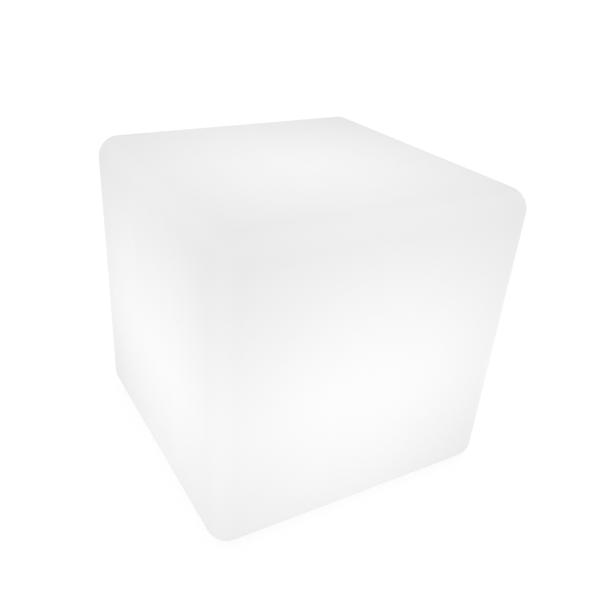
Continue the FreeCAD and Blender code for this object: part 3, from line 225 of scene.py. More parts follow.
def new_node(tree, kind, **attributes):
    """A new node with plain attributes set on it."""
    node = tree.nodes.new(kind)
    for name, content in attributes.items():
        setattr(node, name, content)
    return node


def feed(tree, source, target):
    """Links a socket to a socket, or sets the target's value."""
    if isinstance(source, bpy.types.NodeSocket):
        tree.links.new(source, target)
    else:
        target.default_value = source


def feed_named(tree, node, sources):
    """Feeds a node's inputs by name, or by place where two share a name."""
    for label, source in sources.items():
        feed(tree, source, node.inputs[label])


def fed_node(tree, kind, *sources, **attributes):
    """The outputs of a new node whose first inputs are fed in order."""
    node = new_node(tree, kind, **attributes)
    for socket, source in zip(node.inputs, sources):
        feed(tree, source, socket)
    return node.outputs


def maths(tree, operation, *values, clamp=False):
    """A sum on plain values."""
    return fed_node(tree, "ShaderNodeMath", *values, operation=operation, use_clamp=clamp)["Value"]


def times(tree, first, *others):
    """All the values multiplied, in order."""
    for other in others:
        first = maths(tree, "MULTIPLY", first, other)
    return first


def left_of_one(tree, share):
    """What a share leaves of 1."""
    return maths(tree, "SUBTRACT", 1.0, share)


def swing(tree, mask, width):
    """A mask moved from round a half to round 0, times a width."""
    return times(tree, maths(tree, "SUBTRACT", mask, 0.5), width)


def vector_maths(tree, operation, *values):
    """A sum on vectors, of which the dot product is a plain value."""
    outputs = fed_node(tree, "ShaderNodeVectorMath", *values, operation=operation)
    return outputs["Value" if operation == "DOT_PRODUCT" else "Vector"]


def scaled(tree, colour, amount):
    """A colour made brighter or darker."""
    node = new_node(tree, "ShaderNodeVectorMath", operation="SCALE")
    feed_named(tree, node, {"Vector": colour, "Scale": amount})
    return node.outputs["Vector"]


def split(tree, vector):
    """The X, Y and Z of a vector, by name."""
    return fed_node(tree, "ShaderNodeSeparateXYZ", vector)


def off_axis(tree, parts):
    """The length of a split vector across the Z axis."""
    squares = [times(tree, parts[axis], parts[axis]) for axis in "XY"]
    return maths(tree, "SQRT", maths(tree, "ADD", *squares))


def noise(tree, where, scale, detail, roughness=0.5):
    """A mask of soft noise."""
    node = new_node(tree, "ShaderNodeTexNoise")
    feed_named(tree, node, {"Vector": where, "Scale": scale, "Detail": detail, "Roughness": roughness})
    return node.outputs["Fac"]


def mix_colours(tree, amount, first, second):
    """The first colour where the amount is 0, and the second where it is 1."""
    node = new_node(tree, "ShaderNodeMix", data_type="RGBA")
    feed_named(tree, node, {"Factor": amount, MIX_FIRST: first, MIX_SECOND: second})
    return node.outputs[MIX_RESULT]


def remap(tree, content, old, new, change="LINEAR"):
    """A value moved from one range into another."""
    node = new_node(tree, "ShaderNodeMapRange", interpolation_type=change)
    ends = {"From Min": old[0], "From Max": old[1], "To Min": new[0], "To Max": new[1]}
    feed_named(tree, node, {"Value": content, **ends})
    return node.outputs["Result"]


def fade(tree, content, start, end):
    """1 up to the start and 0 from the end, with a smooth step between."""
    return remap(tree, content, (start, end), (1.0, 0.0), "SMOOTHSTEP")


def object_place(tree):
    """Each spot's place on its own object, which moves with it."""
    return new_node(tree, "ShaderNodeTexCoord").outputs["Object"]


# ---- effects, as groups that materials use ----

def make_group(name, inputs, outputs):
    """An empty shader node group, with its sockets, and its input and output nodes."""
    tree = bpy.data.node_groups.new(name, "ShaderNodeTree")
    for label, kind, default in inputs:
        socket = tree.interface.new_socket(label, in_out="INPUT", socket_type=kind)
        socket.default_value = default
    for label, kind in outputs:
        tree.interface.new_socket(label, in_out="OUTPUT", socket_type=kind)
    entry = new_node(tree, "NodeGroupInput")
    way_out = new_node(tree, "NodeGroupOutput")
    return tree, entry.outputs, way_out.inputs


def build_tone_group():
    """A colour that drifts a little lighter and darker over the surface."""
    tree, given, result = make_group(
        "Tone drift",
        [("Colour", COLOUR, (0.5, 0.5, 0.5, 1.0)), ("Scale", FLOAT, 40.0), ("Drift", FLOAT, 0.05)],
        [("Colour", COLOUR), ("Mask", FLOAT)],
    )
    finer, broad_share, fine_share = 7.0, 0.65, 0.35
    where = object_place(tree)
    broad = noise(tree, where, given["Scale"], detail=3.0)
    fine = noise(tree, where, times(tree, given["Scale"], finer), detail=2.0)
    mask = maths(tree, "ADD", times(tree, broad, broad_share), times(tree, fine, fine_share))
    # The mask swings by a half each way, so twice that is the whole drift.
    level = maths(tree, "ADD", times(tree, swing(tree, mask, given["Drift"]), 2.0), 1.0)
    feed(tree, scaled(tree, given["Colour"], level), result["Colour"])
    feed(tree, mask, result["Mask"])
    return tree


def build_grain_group():
    """The fine skin that a mould leaves: a close grain over a slow waviness."""
    tree, given, result = make_group(
        "Mould grain",
        [("Scale", FLOAT, 900.0), ("Wave scale", FLOAT, 60.0), ("Wave", FLOAT, 0.4)],
        [("Height", FLOAT), ("Roughness shift", FLOAT)],
    )
    sheen_width = 0.25
    where = object_place(tree)
    grain = noise(tree, where, given["Scale"], detail=2.0, roughness=0.6)
    wave = noise(tree, where, given["Wave scale"], detail=1.0)
    feed(tree, maths(tree, "ADD", grain, times(tree, wave, given["Wave"])), result["Height"])
    feed(tree, swing(tree, wave, sheen_width), result["Roughness shift"])
    return tree


def build_streak_group():
    """Turned or rolled metal: fine marks drawn out along one axis."""
    tree, given, result = make_group(
        "Metal streaks",
        [("Scale", FLOAT, 700.0), ("Stretch", FLOAT, 12.0)],
        [("Height", FLOAT), ("Roughness shift", FLOAT)],
    )
    sheen_width = 0.3
    parts = split(tree, object_place(tree))
    stretched = times(tree, parts["Z"], given["Stretch"])
    drawn = fed_node(tree, "ShaderNodeCombineXYZ", parts["X"], parts["Y"], stretched)["Vector"]
    marks = noise(tree, drawn, given["Scale"], detail=3.0, roughness=0.7)
    feed(tree, marks, result["Height"])
    feed(tree, swing(tree, marks, sheen_width), result["Roughness shift"])
    return tree


def build_glow_group():
    """How brightly each spot of the wall glows, from how far it is from the light inside, with a painted
    highlight on the rounded edges.
    """
    tree, given, result = make_group(
        "Glow field",
        [
            ("Source", VECTOR, (0.0, 0.0, 0.17)), ("Flatten", FLOAT, 1.0), ("Roundness", FLOAT, 2.0),
            ("Reach", FLOAT, 0.3), ("Base", FLOAT, 0.1), ("Gain", FLOAT, 0.2), ("Edge", FLOAT, 0.1),
            ("Underside", FLOAT, 0.5), ("Module shade", FLOAT, 0.5),
            ("Shade start", FLOAT, 0.07), ("Shade end", FLOAT, 0.13),
        ],
        [("Glow", FLOAT)],
    )
    coordinates = new_node(tree, "ShaderNodeTexCoord").outputs
    where, facing = coordinates["Object"], coordinates["Normal"]

    # The pool of light fades with distance from its middle.
    ray = split(tree, vector_maths(tree, "SUBTRACT", where, given["Source"]))
    upward = times(tree, maths(tree, "ABSOLUTE", ray["Z"]), given["Flatten"])
    powers = [maths(tree, "POWER", run, given["Roundness"]) for run in (off_axis(tree, ray), upward)]
    root = maths(tree, "DIVIDE", 1.0, given["Roundness"])
    distance = maths(tree, "POWER", maths(tree, "ADD", *powers), root)
    share = maths(tree, "DIVIDE", distance, given["Reach"])
    pool = maths(tree, "EXPONENT", times(tree, share, share, -1.0))
    glow = maths(tree, "ADD", given["Base"], times(tree, pool, given["Gain"]))

    # The rounded edges get a painted highlight added to the glow: the fourth powers of a normal add up to 1
    # only on a flat face.
    squares = vector_maths(tree, "MULTIPLY", facing, facing)
    flatness = vector_maths(tree, "DOT_PRODUCT", squares, squares)
    glow = maths(tree, "ADD", glow, times(tree, left_of_one(tree, flatness), given["Edge"]))

    # Faces turned to the ground let out less.
    down = maths(tree, "MAXIMUM", times(tree, split(tree, facing)["Z"], -1.0), 0.0)
    glow = times(tree, glow, left_of_one(tree, times(tree, down, down, given["Underside"])))

    # The module is opaque, so the wall round it and below it gets less light.
    parts = split(tree, where)
    near = fade(tree, off_axis(tree, parts), given["Shade start"], given["Shade end"])
    low = fade(tree, parts["Z"], SEAT_LEVEL, 2 * SEAT_LEVEL)
    glow = times(tree, glow, left_of_one(tree, times(tree, near, low, given["Module shade"])))
    feed(tree, glow, result["Glow"])
    return tree


GROUP_BUILDERS = {
    "Tone drift": build_tone_group,
    "Mould grain": build_grain_group,
    "Metal streaks": build_streak_group,
    "Glow field": build_glow_group,
}


def place_group(tree, name, sources):
    """A use of one of the groups above, which is built the first time that it is asked for."""
    group = bpy.data.node_groups.get(name) or GROUP_BUILDERS[name]()
    node = new_node(tree, "ShaderNodeGroup", node_tree=group)
    feed_named(tree, node, sources)
    return node.outputs


# ---- finishes ----

def start_material(name):
    """A new material, its node tree and its shader."""
    material = bpy.data.materials.new(name)
    material.use_nodes = True
    tree = material.node_tree
    return material, tree, tree.nodes["Principled BSDF"]


def place_tone(tree, colour, scale, drift):
    """A colour that drifts over the surface, as its group's outputs."""
    return place_group(tree, "Tone drift", {"Colour": (*colour, 1.0), "Scale": scale, "Drift": drift})


def add_bump(tree, shader, height, strength, depth):
    """Gives a shader a relief, with its depth in millimetres."""
    bump = new_node(tree, "ShaderNodeBump")
    feed_named(tree, bump, {"Strength": strength, "Distance": depth * MILLIMETRE, "Height": height})
    feed(tree, bump.outputs["Normal"], shader.inputs["Normal"])


def add_surface(tree, shader, surface, roughness, strength, depth):
    """Gives a shader the uneven sheen and the relief of a grain or streak group."""
    uneven = maths(tree, "ADD", surface["Roughness shift"], roughness, clamp=True)
    feed(tree, uneven, shader.inputs["Roughness"])
    add_bump(tree, shader, surface["Height"], strength, depth)


def moulded(name, colour, roughness, grain=900.0, depth=0.04, drift=0.04):
    """Moulded plastic, rubber or foam: drifting tone, close grain, uneven sheen."""
    material, tree, shader = start_material(name)
    tone = place_tone(tree, colour, scale=45.0, drift=drift)
    skin = place_group(tree, "Mould grain", {"Scale": grain, "Wave scale": 70.0, "Wave": 0.4})
    feed_named(tree, shader, {"Base Color": tone["Colour"]})
    add_surface(tree, shader, skin, roughness, strength=0.5, depth=depth)
    return material


def metal(name, colour, roughness):
    """Bare metal with fine drawn marks."""
    material, tree, shader = start_material(name)
    tone = place_tone(tree, colour, scale=120.0, drift=0.06)
    marks = place_group(tree, "Metal streaks", {"Scale": 900.0, "Stretch": 8.0})
    feed_named(tree, shader, {"Base Color": tone["Colour"], "Metallic": 1.0})
    add_surface(tree, shader, marks, roughness, strength=0.35, depth=0.02)
    return material


def clear_plastic(name, colour, roughness):
    """Clear moulded plastic with a faint haze."""
    material, tree, shader = start_material(name)
    tone = place_tone(tree, colour, scale=60.0, drift=0.02)
    skin = place_group(tree, "Mould grain", {"Scale": 500.0, "Wave scale": 90.0, "Wave": 0.8})
    feed_named(tree, shader, {"Base Color": tone["Colour"], "Transmission Weight": 0.9, "IOR": 1.58})
    add_surface(tree, shader, skin, roughness, strength=0.15, depth=0.03)
    return material


def circuit_board(name, mask, copper, scale):
    """A masked board, whose tracks show faintly through the mask and are a little rougher."""
    material, tree, shader = start_material(name)
    where = object_place(tree)
    # Tracks run in the joints of a brick pattern, and only in patches of it.
    track_width, patch_scale, patch_level, copper_share = 0.035, 0.5, 0.47, 0.6
    bricks = new_node(tree, "ShaderNodeTexBrick")
    feed_named(tree, bricks, {"Vector": where, "Scale": scale, "Mortar Size": track_width})
    patches = noise(tree, where, scale * patch_scale, detail=1.0)
    tracks = times(tree, bricks.outputs["Fac"], maths(tree, "GREATER_THAN", patches, patch_level))
    tone = place_tone(tree, mask, scale=150.0, drift=0.05)
    colour = mix_colours(tree, times(tree, tracks, copper_share), tone["Colour"], (*copper, 1.0))
    mask_roughness, track_roughness = 0.32, 0.45
    sheen = remap(tree, tracks, FULL, (mask_roughness, track_roughness))
    feed_named(tree, shader, {"Base Color": colour, "Roughness": sheen})
    feed_named(tree, shader, {"Coat Weight": 0.3, "Coat Roughness": 0.2})
    add_bump(tree, shader, tracks, strength=0.4, depth=0.03)
    return material


def emitter_material():
    """The pale yellow face of an emitter, which shines."""
    material, tree, shader = start_material("emitter_package")
    tone = place_tone(tree, (0.93, 0.90, 0.66), scale=300.0, drift=0.05)
    skin = place_group(tree, "Mould grain", {"Scale": 2500.0, "Wave scale": 300.0, "Wave": 0.5})
    shine = mix_colours(tree, tone["Mask"], (1.0, 0.97, 0.90, 1.0), WHITE)
    feed_named(tree, shader, {
        "Base Color": tone["Colour"], "Emission Color": shine, "Emission Strength": 2.0})
    add_surface(tree, shader, skin, roughness=0.35, strength=0.2, depth=0.02)
    return material


def shell_material(glow):
    """White polyethylene, lit from inside, with the fine skin of a rotating mould."""
    material, tree, shader = start_material("lit_polyethylene")
    tone = place_tone(tree, glow.plastic, scale=9.0, drift=0.012)
    skin = place_group(tree, "Mould grain", {"Scale": 700.0, "Wave scale": 26.0, "Wave": 1.2})
    light = place_group(tree, "Glow field", {
        "Source": glow.source[:], "Flatten": glow.flatten, "Roundness": glow.roundness,
        # Edge carries the painted highlight on the rounded edges.
        "Reach": glow.reach, "Base": glow.base, "Gain": glow.gain, "Edge": glow.edge,
        "Underside": glow.underside, "Module shade": glow.module_shade,
        "Shade start": glow.shade_start, "Shade end": glow.shade_end,
    })
    # The wall is never quite even, so neither is what shines through it.
    unevenness = 0.015
    cloud = remap(tree, tone["Mask"], FULL, (1 - unevenness, 1 + unevenness))
    shine = scaled(tree, glow.warmth[:], times(tree, light["Glow"], cloud))
    feed_named(tree, shader, {
        "Base Color": tone["Colour"], "Specular IOR Level": 0.12, "IOR": 1.51,
        "Emission Color": shine, "Emission Strength": 1.0,
    })
    add_surface(tree, shader, skin, roughness=0.58, strength=0.35, depth=0.05)
    return material


# ---- mesh helpers ----

def finish_mesh(name, mesh_data, material, body, sharp=35):
    """Turns a bmesh into a smooth piece, whose edges over the sharp angle in degrees stay crisp.

    It rides on the body, or on none where the piece spans two.
    """
    bmesh.ops.remove_doubles(mesh_data, verts=mesh_data.verts, dist=SAME_PLACE)
    bmesh.ops.dissolve_degenerate(mesh_data, edges=mesh_data.edges, dist=NO_EDGE)
    bmesh.ops.recalc_face_normals(mesh_data, faces=mesh_data.faces)
    mesh = bpy.data.meshes.new(name)
    mesh_data.to_mesh(mesh)
    mesh_data.free()
    mesh.polygons.foreach_set("use_smooth", [True] * len(mesh.polygons))
    mesh.set_sharp_from_angle(angle=math.radians(sharp))
    mesh.materials.append(material)
    piece = bpy.data.objects.new(name, mesh)
    bpy.context.scene.collection.objects.link(piece)
    if body:
        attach(piece, body)
    return piece


def skin_rings(mesh_data, rings):
    """Quads between one closed ring of places and the next, and a fan where a ring is one place."""
    made = [[mesh_data.verts.new(place) for place in ring] for ring in rings]
    for lower, upper in zip(made, made[1:]):
        count = max(len(lower), len(upper))
        for index in range(count):
            following = (index + 1) % count
            if len(lower) == 1:
                corners = [lower[0], upper[following], upper[index]]
            elif len(upper) == 1:
                corners = [lower[index], lower[following], upper[0]]
            else:
                corners = [lower[index], lower[following], upper[following], upper[index]]
            mesh_data.faces.new(corners)


def circle_ring(radius, level, count):
    """A level circle round the Z axis, counted from its +X side."""
    turn = 2 * math.pi / count
    return [
        Vector((radius * math.cos(turn * step), radius * math.sin(turn * step), level))
        for step in range(count)
    ]


def arc(centre, radius, start, end, steps):
    """Profile places along an arc, with angles in degrees."""
    turns = [math.radians(start + (end - start) * step / steps) for step in range(steps + 1)]
    return [(centre[0] + radius * math.cos(turn), centre[1] + radius * math.sin(turn)) for turn in turns]


# ---- the shell ----

# Rings across the flat top, and how far the first of them lies from its middle.
TOP_RINGS = 8
FIRST_TOP_RING = 20 * MILLIMETRE
# Steps across the recessed panel, and round each soft edge.
PANEL_STEPS = 6
SOFT_STEPS = 4


def square_ring(half, corner, level, corner_steps, side_steps):
    """A level rounded square, counted from the middle of its +X side."""
    inner = half - corner
    half_side = side_steps // 2
    places = []
    for quarter in range(4):
        turn = Matrix.Rotation(math.pi / 2 * quarter, 2)
        local = [(half, inner * step / half_side) for step in range(half_side)]
        for step in range(corner_steps):
            angle = math.pi / 2 * step / corner_steps
            local.append((inner + corner * math.cos(angle), inner + corner * math.sin(angle)))
        local += [(inner * (1 - step / half_side), half) for step in range(half_side)]
        for x, y in local:
            place = turn @ Vector((x, y))
            places.append(Vector((place.x, place.y, level)))
    return places


def shell_rings(sizes):
    """Every ring from the top's middle down the outside, in at the underside, and back up inside."""
    sides = sizes.side_steps
    top = SHELL_HIGH.z
    half = (SHELL_HIGH.x - SHELL_LOW.x) / 2
    radius, wall, soft = sizes.edge_radius, sizes.wall, sizes.soft_edge
    flat = half - radius

    def ring(size, corner, level):
        return square_ring(size, corner, level, sizes.corner_steps, sides)

    def band(centre_level, size, start, end):
        """Rings round an edge whose corners turn about the same centres."""
        profile = arc((flat, centre_level), size, start, end, sizes.corner_steps)
        return [ring(x, max(x - flat, 0.0), z) for x, z in profile]

    rings = [[Vector((0, 0, top))]]
    for step in range(TOP_RINGS):
        rings.append(ring(FIRST_TOP_RING + (flat - FIRST_TOP_RING) * step / TOP_RINGS, 0.0, top))
    rings += band(top - radius, radius, 90, 0)
    for step in range(1, sides):
        rings.append(ring(half, radius, radius + (top - 2 * radius) * (1 - step / sides)))
    rings += band(radius, radius, 0, -90)

    # The standing rim's inner lip and the recessed panel, with small moulded radii.
    recess, recess_half, corner = sizes.recess_depth, flat - sizes.rim_width, sizes.recess_corner

    def lips(profile):
        return [ring(x, corner + x - recess_half, z) for x, z in profile]

    rings += lips(arc((recess_half + soft, soft), soft, -90, -180, SOFT_STEPS))
    rings += lips(arc((recess_half - soft, recess - soft), soft, 0, 90, SOFT_STEPS))

    # The panel runs from its rounded square to the well's circle.
    well, hole, seat = sizes.well_radius, sizes.hole_radius, SEAT_LEVEL
    outer = lips([(recess_half - soft, recess)])[0]
    count = len(outer)
    inner = circle_ring(well + soft, recess, count)
    for step in range(1, PANEL_STEPS):
        rings.append([far.lerp(near, step / PANEL_STEPS) for far, near in zip(outer, inner)])

    def circles(profile):
        return [circle_ring(x, z, count) for x, z in profile]

    # The well, the hole in its roof, and back up inside, an even wall away.
    rings += circles(arc((well + soft, recess + soft), soft, -90, -180, SOFT_STEPS))
    rings += circles(arc((well - soft, seat - soft), soft, 0, 90, SOFT_STEPS))
    rings += circles([(hole, seat), (hole, seat + wall)])
    rings += circles([(well + wall, seat + wall), (well + wall, recess + wall)])
    rings += [ring(recess_half + wall, corner + wall, level) for level in (recess + wall, wall)]
    rings += band(radius, radius - wall, -90, 0)
    rings += band(top - radius, radius - wall, 0, 90)
    rings.append([Vector((0, 0, top - wall))])
    return rings


class CUBELIGHT_OT_shell(bpy.types.Operator):
    """Model the moulded shell as one closed skin and light it from inside"""
    bl_idname = "cubelight.shell"
    bl_label = "Moulded shell"

    def execute(self, context):
        mesh_data = bmesh.new()
        skin_rings(mesh_data, shell_rings(context.scene.cube_shell_settings))
        material = shell_material(context.scene.cube_glow_settings)
        skin = finish_mesh("shell_skin", mesh_data, material, "housing")
        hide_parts("cube_shell")
        return {"FINISHED"}


# ---- the module ----

def dress(material, *names):
    """Gives CAD nodes a finish of their own."""
    for name in names:
        for slot in NODES[name].material_slots:
            slot.material = material


class CUBELIGHT_OT_module(bpy.types.Operator):
    """Finish the light module: housing, seals, cover, boards and fasteners"""
    bl_idname = "cubelight.module"
    bl_label = "Light module"

    def execute(self, context):
        finish = context.scene.cube_module_settings
        housing = moulded(
            "housing_abs", finish.housing, roughness=0.46, grain=1300.0, depth=0.12, drift=0.07)
        dress(housing, "module_base")
        seal = moulded("grey_silicone", (0.68, 0.69, 0.70), roughness=0.6, grain=1800.0, drift=0.06)
        dress(seal, "module_gasket", "lens_seal", "button_seal", "socket_washer")
        dress(clear_plastic("cover_polycarbonate", (0.93, 0.95, 0.96), roughness=0.12), "lens_cover")
        dress(metal("moulded_in_brass", (0.78, 0.60, 0.30), roughness=0.3), "insert_nuts")
        steel = metal(STEEL, (0.60, 0.60, 0.61), roughness=0.28)
        dress(steel, "lens_screws", "led_board_screws", "board_screws")
        white_board = circuit_board(
            "white_board", mask=(0.82, 0.83, 0.82), copper=(0.72, 0.70, 0.66), scale=260.0)
        dress(white_board, "led_board")
        green_board = circuit_board(
            "green_board", mask=(0.03, 0.20, 0.08), copper=(0.10, 0.36, 0.14), scale=420.0)
        dress(green_board, "control_board")
        dress(emitter_material(), "led_emitters")
        package = moulded(
            "black_package", (0.035, 0.035, 0.038), roughness=0.5, grain=2600.0, depth=0.03)
        dress(package, "controller_chips", "ir_receiver", "push_switch")
        dress(moulded("switch_plunger_nylon", (0.70, 0.69, 0.66), roughness=0.45), "switch_plunger")
        dress(clear_plastic("light_pipe_acrylic", (0.86, 0.95, 0.88), roughness=0.1), "charge_indicator")
        return {"FINISHED"}


class CUBELIGHT_OT_battery(bpy.types.Operator):
    """Finish the battery and the leads inside the module"""
    bl_idname = "cubelight.battery"
    bl_label = "Battery and leads"

    def execute(self, context):
        can = metal("cell_can", (0.62, 0.62, 0.62), roughness=0.3)
        dress(can, "battery_cell_left", "battery_cell_right")
        sleeve = moulded("blue_sleeve", (0.05, 0.17, 0.42), roughness=0.25, grain=400.0, drift=0.05)
        dress(sleeve, "battery_wrap")
        nickel = metal("nickel_strip", (0.70, 0.69, 0.66), roughness=0.35)
        dress(nickel, "battery_tabs", "socket_nut", "charge_socket_pin")
        foam = moulded("cell_foam", (0.05, 0.05, 0.05), roughness=0.9, grain=1500.0, depth=0.2)
        dress(foam, "battery_pad")
        dress(moulded("red_lead", (0.45, 0.03, 0.02), roughness=0.4), "battery_leads")
        dress(moulded("black_lead", (0.03, 0.03, 0.03), roughness=0.4), "socket_leads")
        dress(moulded("white_lead", (0.75, 0.75, 0.73), roughness=0.4), "led_leads")
        return {"FINISHED"}


class CUBELIGHT_OT_controls(bpy.types.Operator):
    """Finish the button, the charging socket and its stopper"""
    bl_idname = "cubelight.controls"
    bl_label = "Button and port"

    def execute(self, context):
        finish = context.scene.cube_module_settings
        cap = moulded(
            "button_cap", finish.button, roughness=0.38, grain=1500.0, depth=0.08, drift=0.08)
        dress(cap, "power_button")
        socket = moulded("socket_nylon", (0.03, 0.03, 0.032), roughness=0.35, grain=1500.0)
        dress(socket, "charge_socket")
        silicone = moulded(
            SILICONE, finish.stopper, roughness=0.6, grain=1700.0, depth=0.08, drift=0.09)
        dress(silicone, "port_plug", "plug_anchor")
        return {"FINISHED"}


class CUBELIGHT_OT_fasteners(bpy.types.Operator):
    """Model the module's pan-head screws with their cross recesses"""
    bl_idname = "cubelight.fasteners"
    bl_label = "Module screws"

    # Shares of the head's radius and height, from the flat round the cross to the rim.
    CROWN = ((0.62, 0.0), (0.80, 0.10), (0.93, 0.30), (1.0, 0.62), (1.0, 1.0))
    PLACES_ROUND = 64
    # What is left of the cross's reach and width at its floor, and of the shank's radius at its end.
    FLOOR_REACH, FLOOR_WIDTH, END_RADIUS = 0.45, 0.6, 0.6

    def execute(self, context):
        sizes = context.scene.cube_screw_settings
        low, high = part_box("module_screws")
        axis_radius = high.x - sizes.head_radius
        mesh_data = bmesh.new()
        for number in range(sizes.count):
            turn = 2 * math.pi / sizes.count * number
            place = Matrix.Rotation(turn, 4, "Z") @ Matrix.Translation((axis_radius, 0, low.z))
            self.screw(mesh_data, place, sizes, FLANGE_LEVEL - low.z, high.z - low.z)
        steel = bpy.data.materials[STEEL]
        piece = finish_mesh("pan_head_screws", mesh_data, steel, "housing")
        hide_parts("module_screws")
        return {"FINISHED"}

    def screw(self, mesh_data, place, sizes, head_height, full_height):
        """A domed head with a cross sunk in its face, and a shank with a tapered end."""
        head, shank = sizes.head_radius, sizes.shank_radius
        profile = [(head * across, head_height * up) for across, up in self.CROWN]
        profile += [(shank, head_height), (shank, full_height - sizes.point)]
        profile.append((shank * self.END_RADIUS, full_height))
        reach, half = sizes.cross_reach, sizes.cross_width / 2
        rings = [
            [Vector((0, 0, sizes.cross_depth))],
            self.cross(reach * self.FLOOR_REACH, half * self.FLOOR_WIDTH, sizes.cross_depth),
            self.cross(reach, half, 0.0),
        ]
        rings += [circle_ring(radius, level, self.PLACES_ROUND) for radius, level in profile]
        rings.append([Vector((0, 0, full_height))])
        skin_rings(mesh_data, [[place @ spot for spot in ring] for ring in rings])

    def cross(self, reach, half, level):
        """A plus sign as a ring of places at even angles."""
        ring = []
        for step in range(self.PLACES_ROUND):
            angle = 2 * math.pi / self.PLACES_ROUND * step
            along, aside = sorted((abs(math.cos(angle)), abs(math.sin(angle))), reverse=True)
            out = min(reach / along, half / max(aside, half / reach * along))
            ring.append(Vector((out * math.cos(angle), out * math.sin(angle), level)))
        return ring


class CUBELIGHT_OT_strap(bpy.types.Operator):
    """Model the stopper's soft strap, which runs straight from its cap into its anchor"""
    bl_idname = "cubelight.strap"
    bl_label = "Stopper strap"

    RINGS_ALONG, PLACES_ROUND = 24, 20
    # Powers that draw the ellipse of the strap's outline out into flat faces with full edges.
    WIDTH_POWER, THICKNESS_POWER = 0.35, 0.6
    # Only the rims of the strap's ends turn by more than this, in degrees.
    SHARP_ANGLE = 60

    def execute(self, context):
        sizes = context.scene.cube_strap_settings
        bend = Vector(next(joint["pos_m"] for joint in frame["joints"] if joint["name"] == "stopper_swing"))
        start = bend - Vector((sizes.cap_run, 0, 0))
        end = Vector((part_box("plug_anchor")[0].x + sizes.anchor_run, bend.y, bend.z))
        outline = self.outline(sizes)
        rings = [[start]]
        for run in range(self.RINGS_ALONG + 1):
            middle = start.lerp(end, run / self.RINGS_ALONG)
            rings.append([middle + spot for spot in outline])
        rings.append([end])
        mesh_data = bmesh.new()
        skin_rings(mesh_data, rings)
        silicone = bpy.data.materials[SILICONE]
        strap = finish_mesh("stopper_strap", mesh_data, silicone, None, self.SHARP_ANGLE)
        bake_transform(strap)
        return {"FINISHED"}

    def outline(self, sizes):
        """The strap's cross-section, as places round its middle."""
        places = []
        for step in range(self.PLACES_ROUND):
            turn = 2 * math.pi * (step / self.PLACES_ROUND)
            across, upward = math.cos(turn), math.sin(turn)
            aside = sizes.width / 2 * math.copysign(abs(across) ** self.WIDTH_POWER, across)
            level = sizes.thickness / 2 * math.copysign(abs(upward) ** self.THICKNESS_POWER, upward)
            places.append(Vector((0, aside, level)))
        return places


# ---- the studio ----

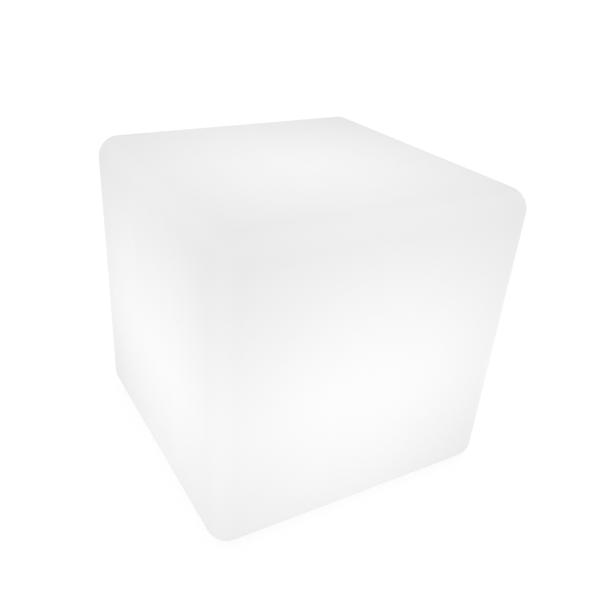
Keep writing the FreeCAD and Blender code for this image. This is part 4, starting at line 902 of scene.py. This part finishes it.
class CUBELIGHT_OT_stage(bpy.types.Operator):
    """Set up the pale floor, the even light and the camera"""
    bl_idname = "cubelight.stage"
    bl_label = "Studio"

    # The floor lies a hair below the object, and is just past white where the camera sees it.
    FLOOR_GAP = 0.1 * MILLIMETRE
    FLOOR_BRIGHTNESS = 1.02
    # The camera's sensor in millimetres, and how far it sees in metres.
    SENSOR_WIDTH = 36.0
    FARTHEST_SEEN = 100.0

    def execute(self, context):
        studio = context.scene.cube_studio_settings
        self.floor(context.scene, studio)
        self.sky(context.scene, studio)
        self.camera(context.scene, studio)
        context.scene.view_settings.view_transform = "Standard"
        return {"FINISHED"}

    def seen_directly(self, tree):
        """1 where the camera, a reflection or clear plastic shows the surface, and 0 for light."""
        path = new_node(tree, "ShaderNodeLightPath").outputs
        seen = maths(tree, "ADD", path["Is Camera Ray"], path["Is Glossy Ray"], clamp=True)
        return maths(tree, "ADD", seen, path["Is Transmission Ray"], clamp=True)

    def floor(self, scene, studio):
        """A pale floor that no light bounces off, and that throws no shadow itself."""
        half = studio.floor_size / 2
        level = CAD_BOX[0][2] - self.FLOOR_GAP
        corners = [(half * x, half * y, level) for x, y in ((-1, -1), (1, -1), (1, 1), (-1, 1))]
        mesh = bpy.data.meshes.new("studio_floor")
        mesh.from_pydata(corners, [], [(0, 1, 2, 3)])
        mesh.materials.append(self.floor_material(studio.floor_tone))
        floor = bpy.data.objects.new("studio_floor", mesh)
        scene.collection.objects.link(floor)
        floor.visible_diffuse = False
        floor.visible_shadow = False

    def floor_material(self, lit_tone):
        """White to the camera, with a lit part that keeps a faint shadow, and clear from below."""
        material = bpy.data.materials.new("studio_floor")
        material.use_nodes = True
        tree = material.node_tree
        tree.nodes.clear()
        lit = fed_node(tree, "ShaderNodeBsdfDiffuse", (lit_tone, lit_tone, lit_tone, 1.0))["BSDF"]
        own_tone = times(tree, self.seen_directly(tree), self.FLOOR_BRIGHTNESS - lit_tone)
        own = fed_node(tree, "ShaderNodeEmission", WHITE, own_tone)["Emission"]
        both = fed_node(tree, "ShaderNodeAddShader", lit, own)["Shader"]
        clear = fed_node(tree, "ShaderNodeBsdfTransparent", WHITE)["BSDF"]
        from_below = new_node(tree, "ShaderNodeNewGeometry").outputs["Backfacing"]
        shown = fed_node(tree, "ShaderNodeMixShader", from_below, both, clear)["Shader"]
        fed_node(tree, "ShaderNodeOutputMaterial", shown)
        return material

    def sky(self, scene, studio):
        """Even white light, seen as white."""
        world = bpy.data.worlds.new("studio_sky")
        scene.world = world
        world.use_nodes = True
        tree = world.node_tree
        strength = remap(tree, self.seen_directly(tree), FULL, (studio.sky, 1.0))
        feed_named(tree, tree.nodes["Background"], {"Color": WHITE, "Strength": strength})

    def camera(self, scene, studio):
        """The photograph's viewing angle, from heading, pitch and roll."""
        data = bpy.data.cameras.new("view_camera")
        data.lens = studio.lens
        data.sensor_width = self.SENSOR_WIDTH
        data.shift_x = studio.shift_x
        data.shift_y = studio.shift_y
        data.clip_end = self.FARTHEST_SEEN
        camera = bpy.data.objects.new("view_camera", data)
        scene.collection.objects.link(camera)
        heading = Matrix.Rotation(studio.camera_heading, 4, "Z")
        pitch = Matrix.Rotation(math.pi / 2 - studio.camera_pitch, 4, "X")
        roll = Matrix.Rotation(studio.camera_roll, 4, "Z")
        camera.matrix_world = Matrix.Translation(studio.camera_place) @ heading @ pitch @ roll
        scene.camera = camera


class CUBELIGHT_PT_panel(bpy.types.Panel):
    """Every step of the cube light, in the order that it is dressed"""
    bl_idname = "CUBELIGHT_PT_panel"
    bl_label = "Cube Light"
    bl_space_type = "VIEW_3D"
    bl_region_type = "UI"
    bl_category = "Cube Light"

    def draw(self, context):
        for name in STEPS:
            self.layout.operator(f"cubelight.{name}")
        for holder in SETTINGS:
            box = self.layout.box()
            group = getattr(context.scene, holder)
            for key in type(group).__annotations__:
                box.prop(group, key)


STEPS = ("shell", "module", "battery", "controls", "fasteners", "strap", "stage")
SETTINGS = {
    "cube_shell_settings": CubeShellSettings,
    "cube_glow_settings": CubeGlowSettings,
    "cube_module_settings": CubeModuleSettings,
    "cube_screw_settings": CubeScrewSettings,
    "cube_strap_settings": CubeStrapSettings,
    "cube_studio_settings": CubeStudioSettings,
}
CLASSES = (
    *SETTINGS.values(), CUBELIGHT_OT_shell, CUBELIGHT_OT_module, CUBELIGHT_OT_battery,
    CUBELIGHT_OT_controls, CUBELIGHT_OT_fasteners, CUBELIGHT_OT_strap, CUBELIGHT_OT_stage,
    CUBELIGHT_PT_panel,
)


def register():
    for item in CLASSES:
        bpy.utils.register_class(item)
    for name, group in SETTINGS.items():
        setattr(bpy.types.Scene, name, PointerProperty(type=group))


def unregister():
    for name in SETTINGS:
        delattr(bpy.types.Scene, name)
    for item in reversed(CLASSES):
        bpy.utils.unregister_class(item)


def main():
    register()
    for name in STEPS:
        getattr(bpy.ops.cubelight, name)()


if __name__ == "__main__":
    main()
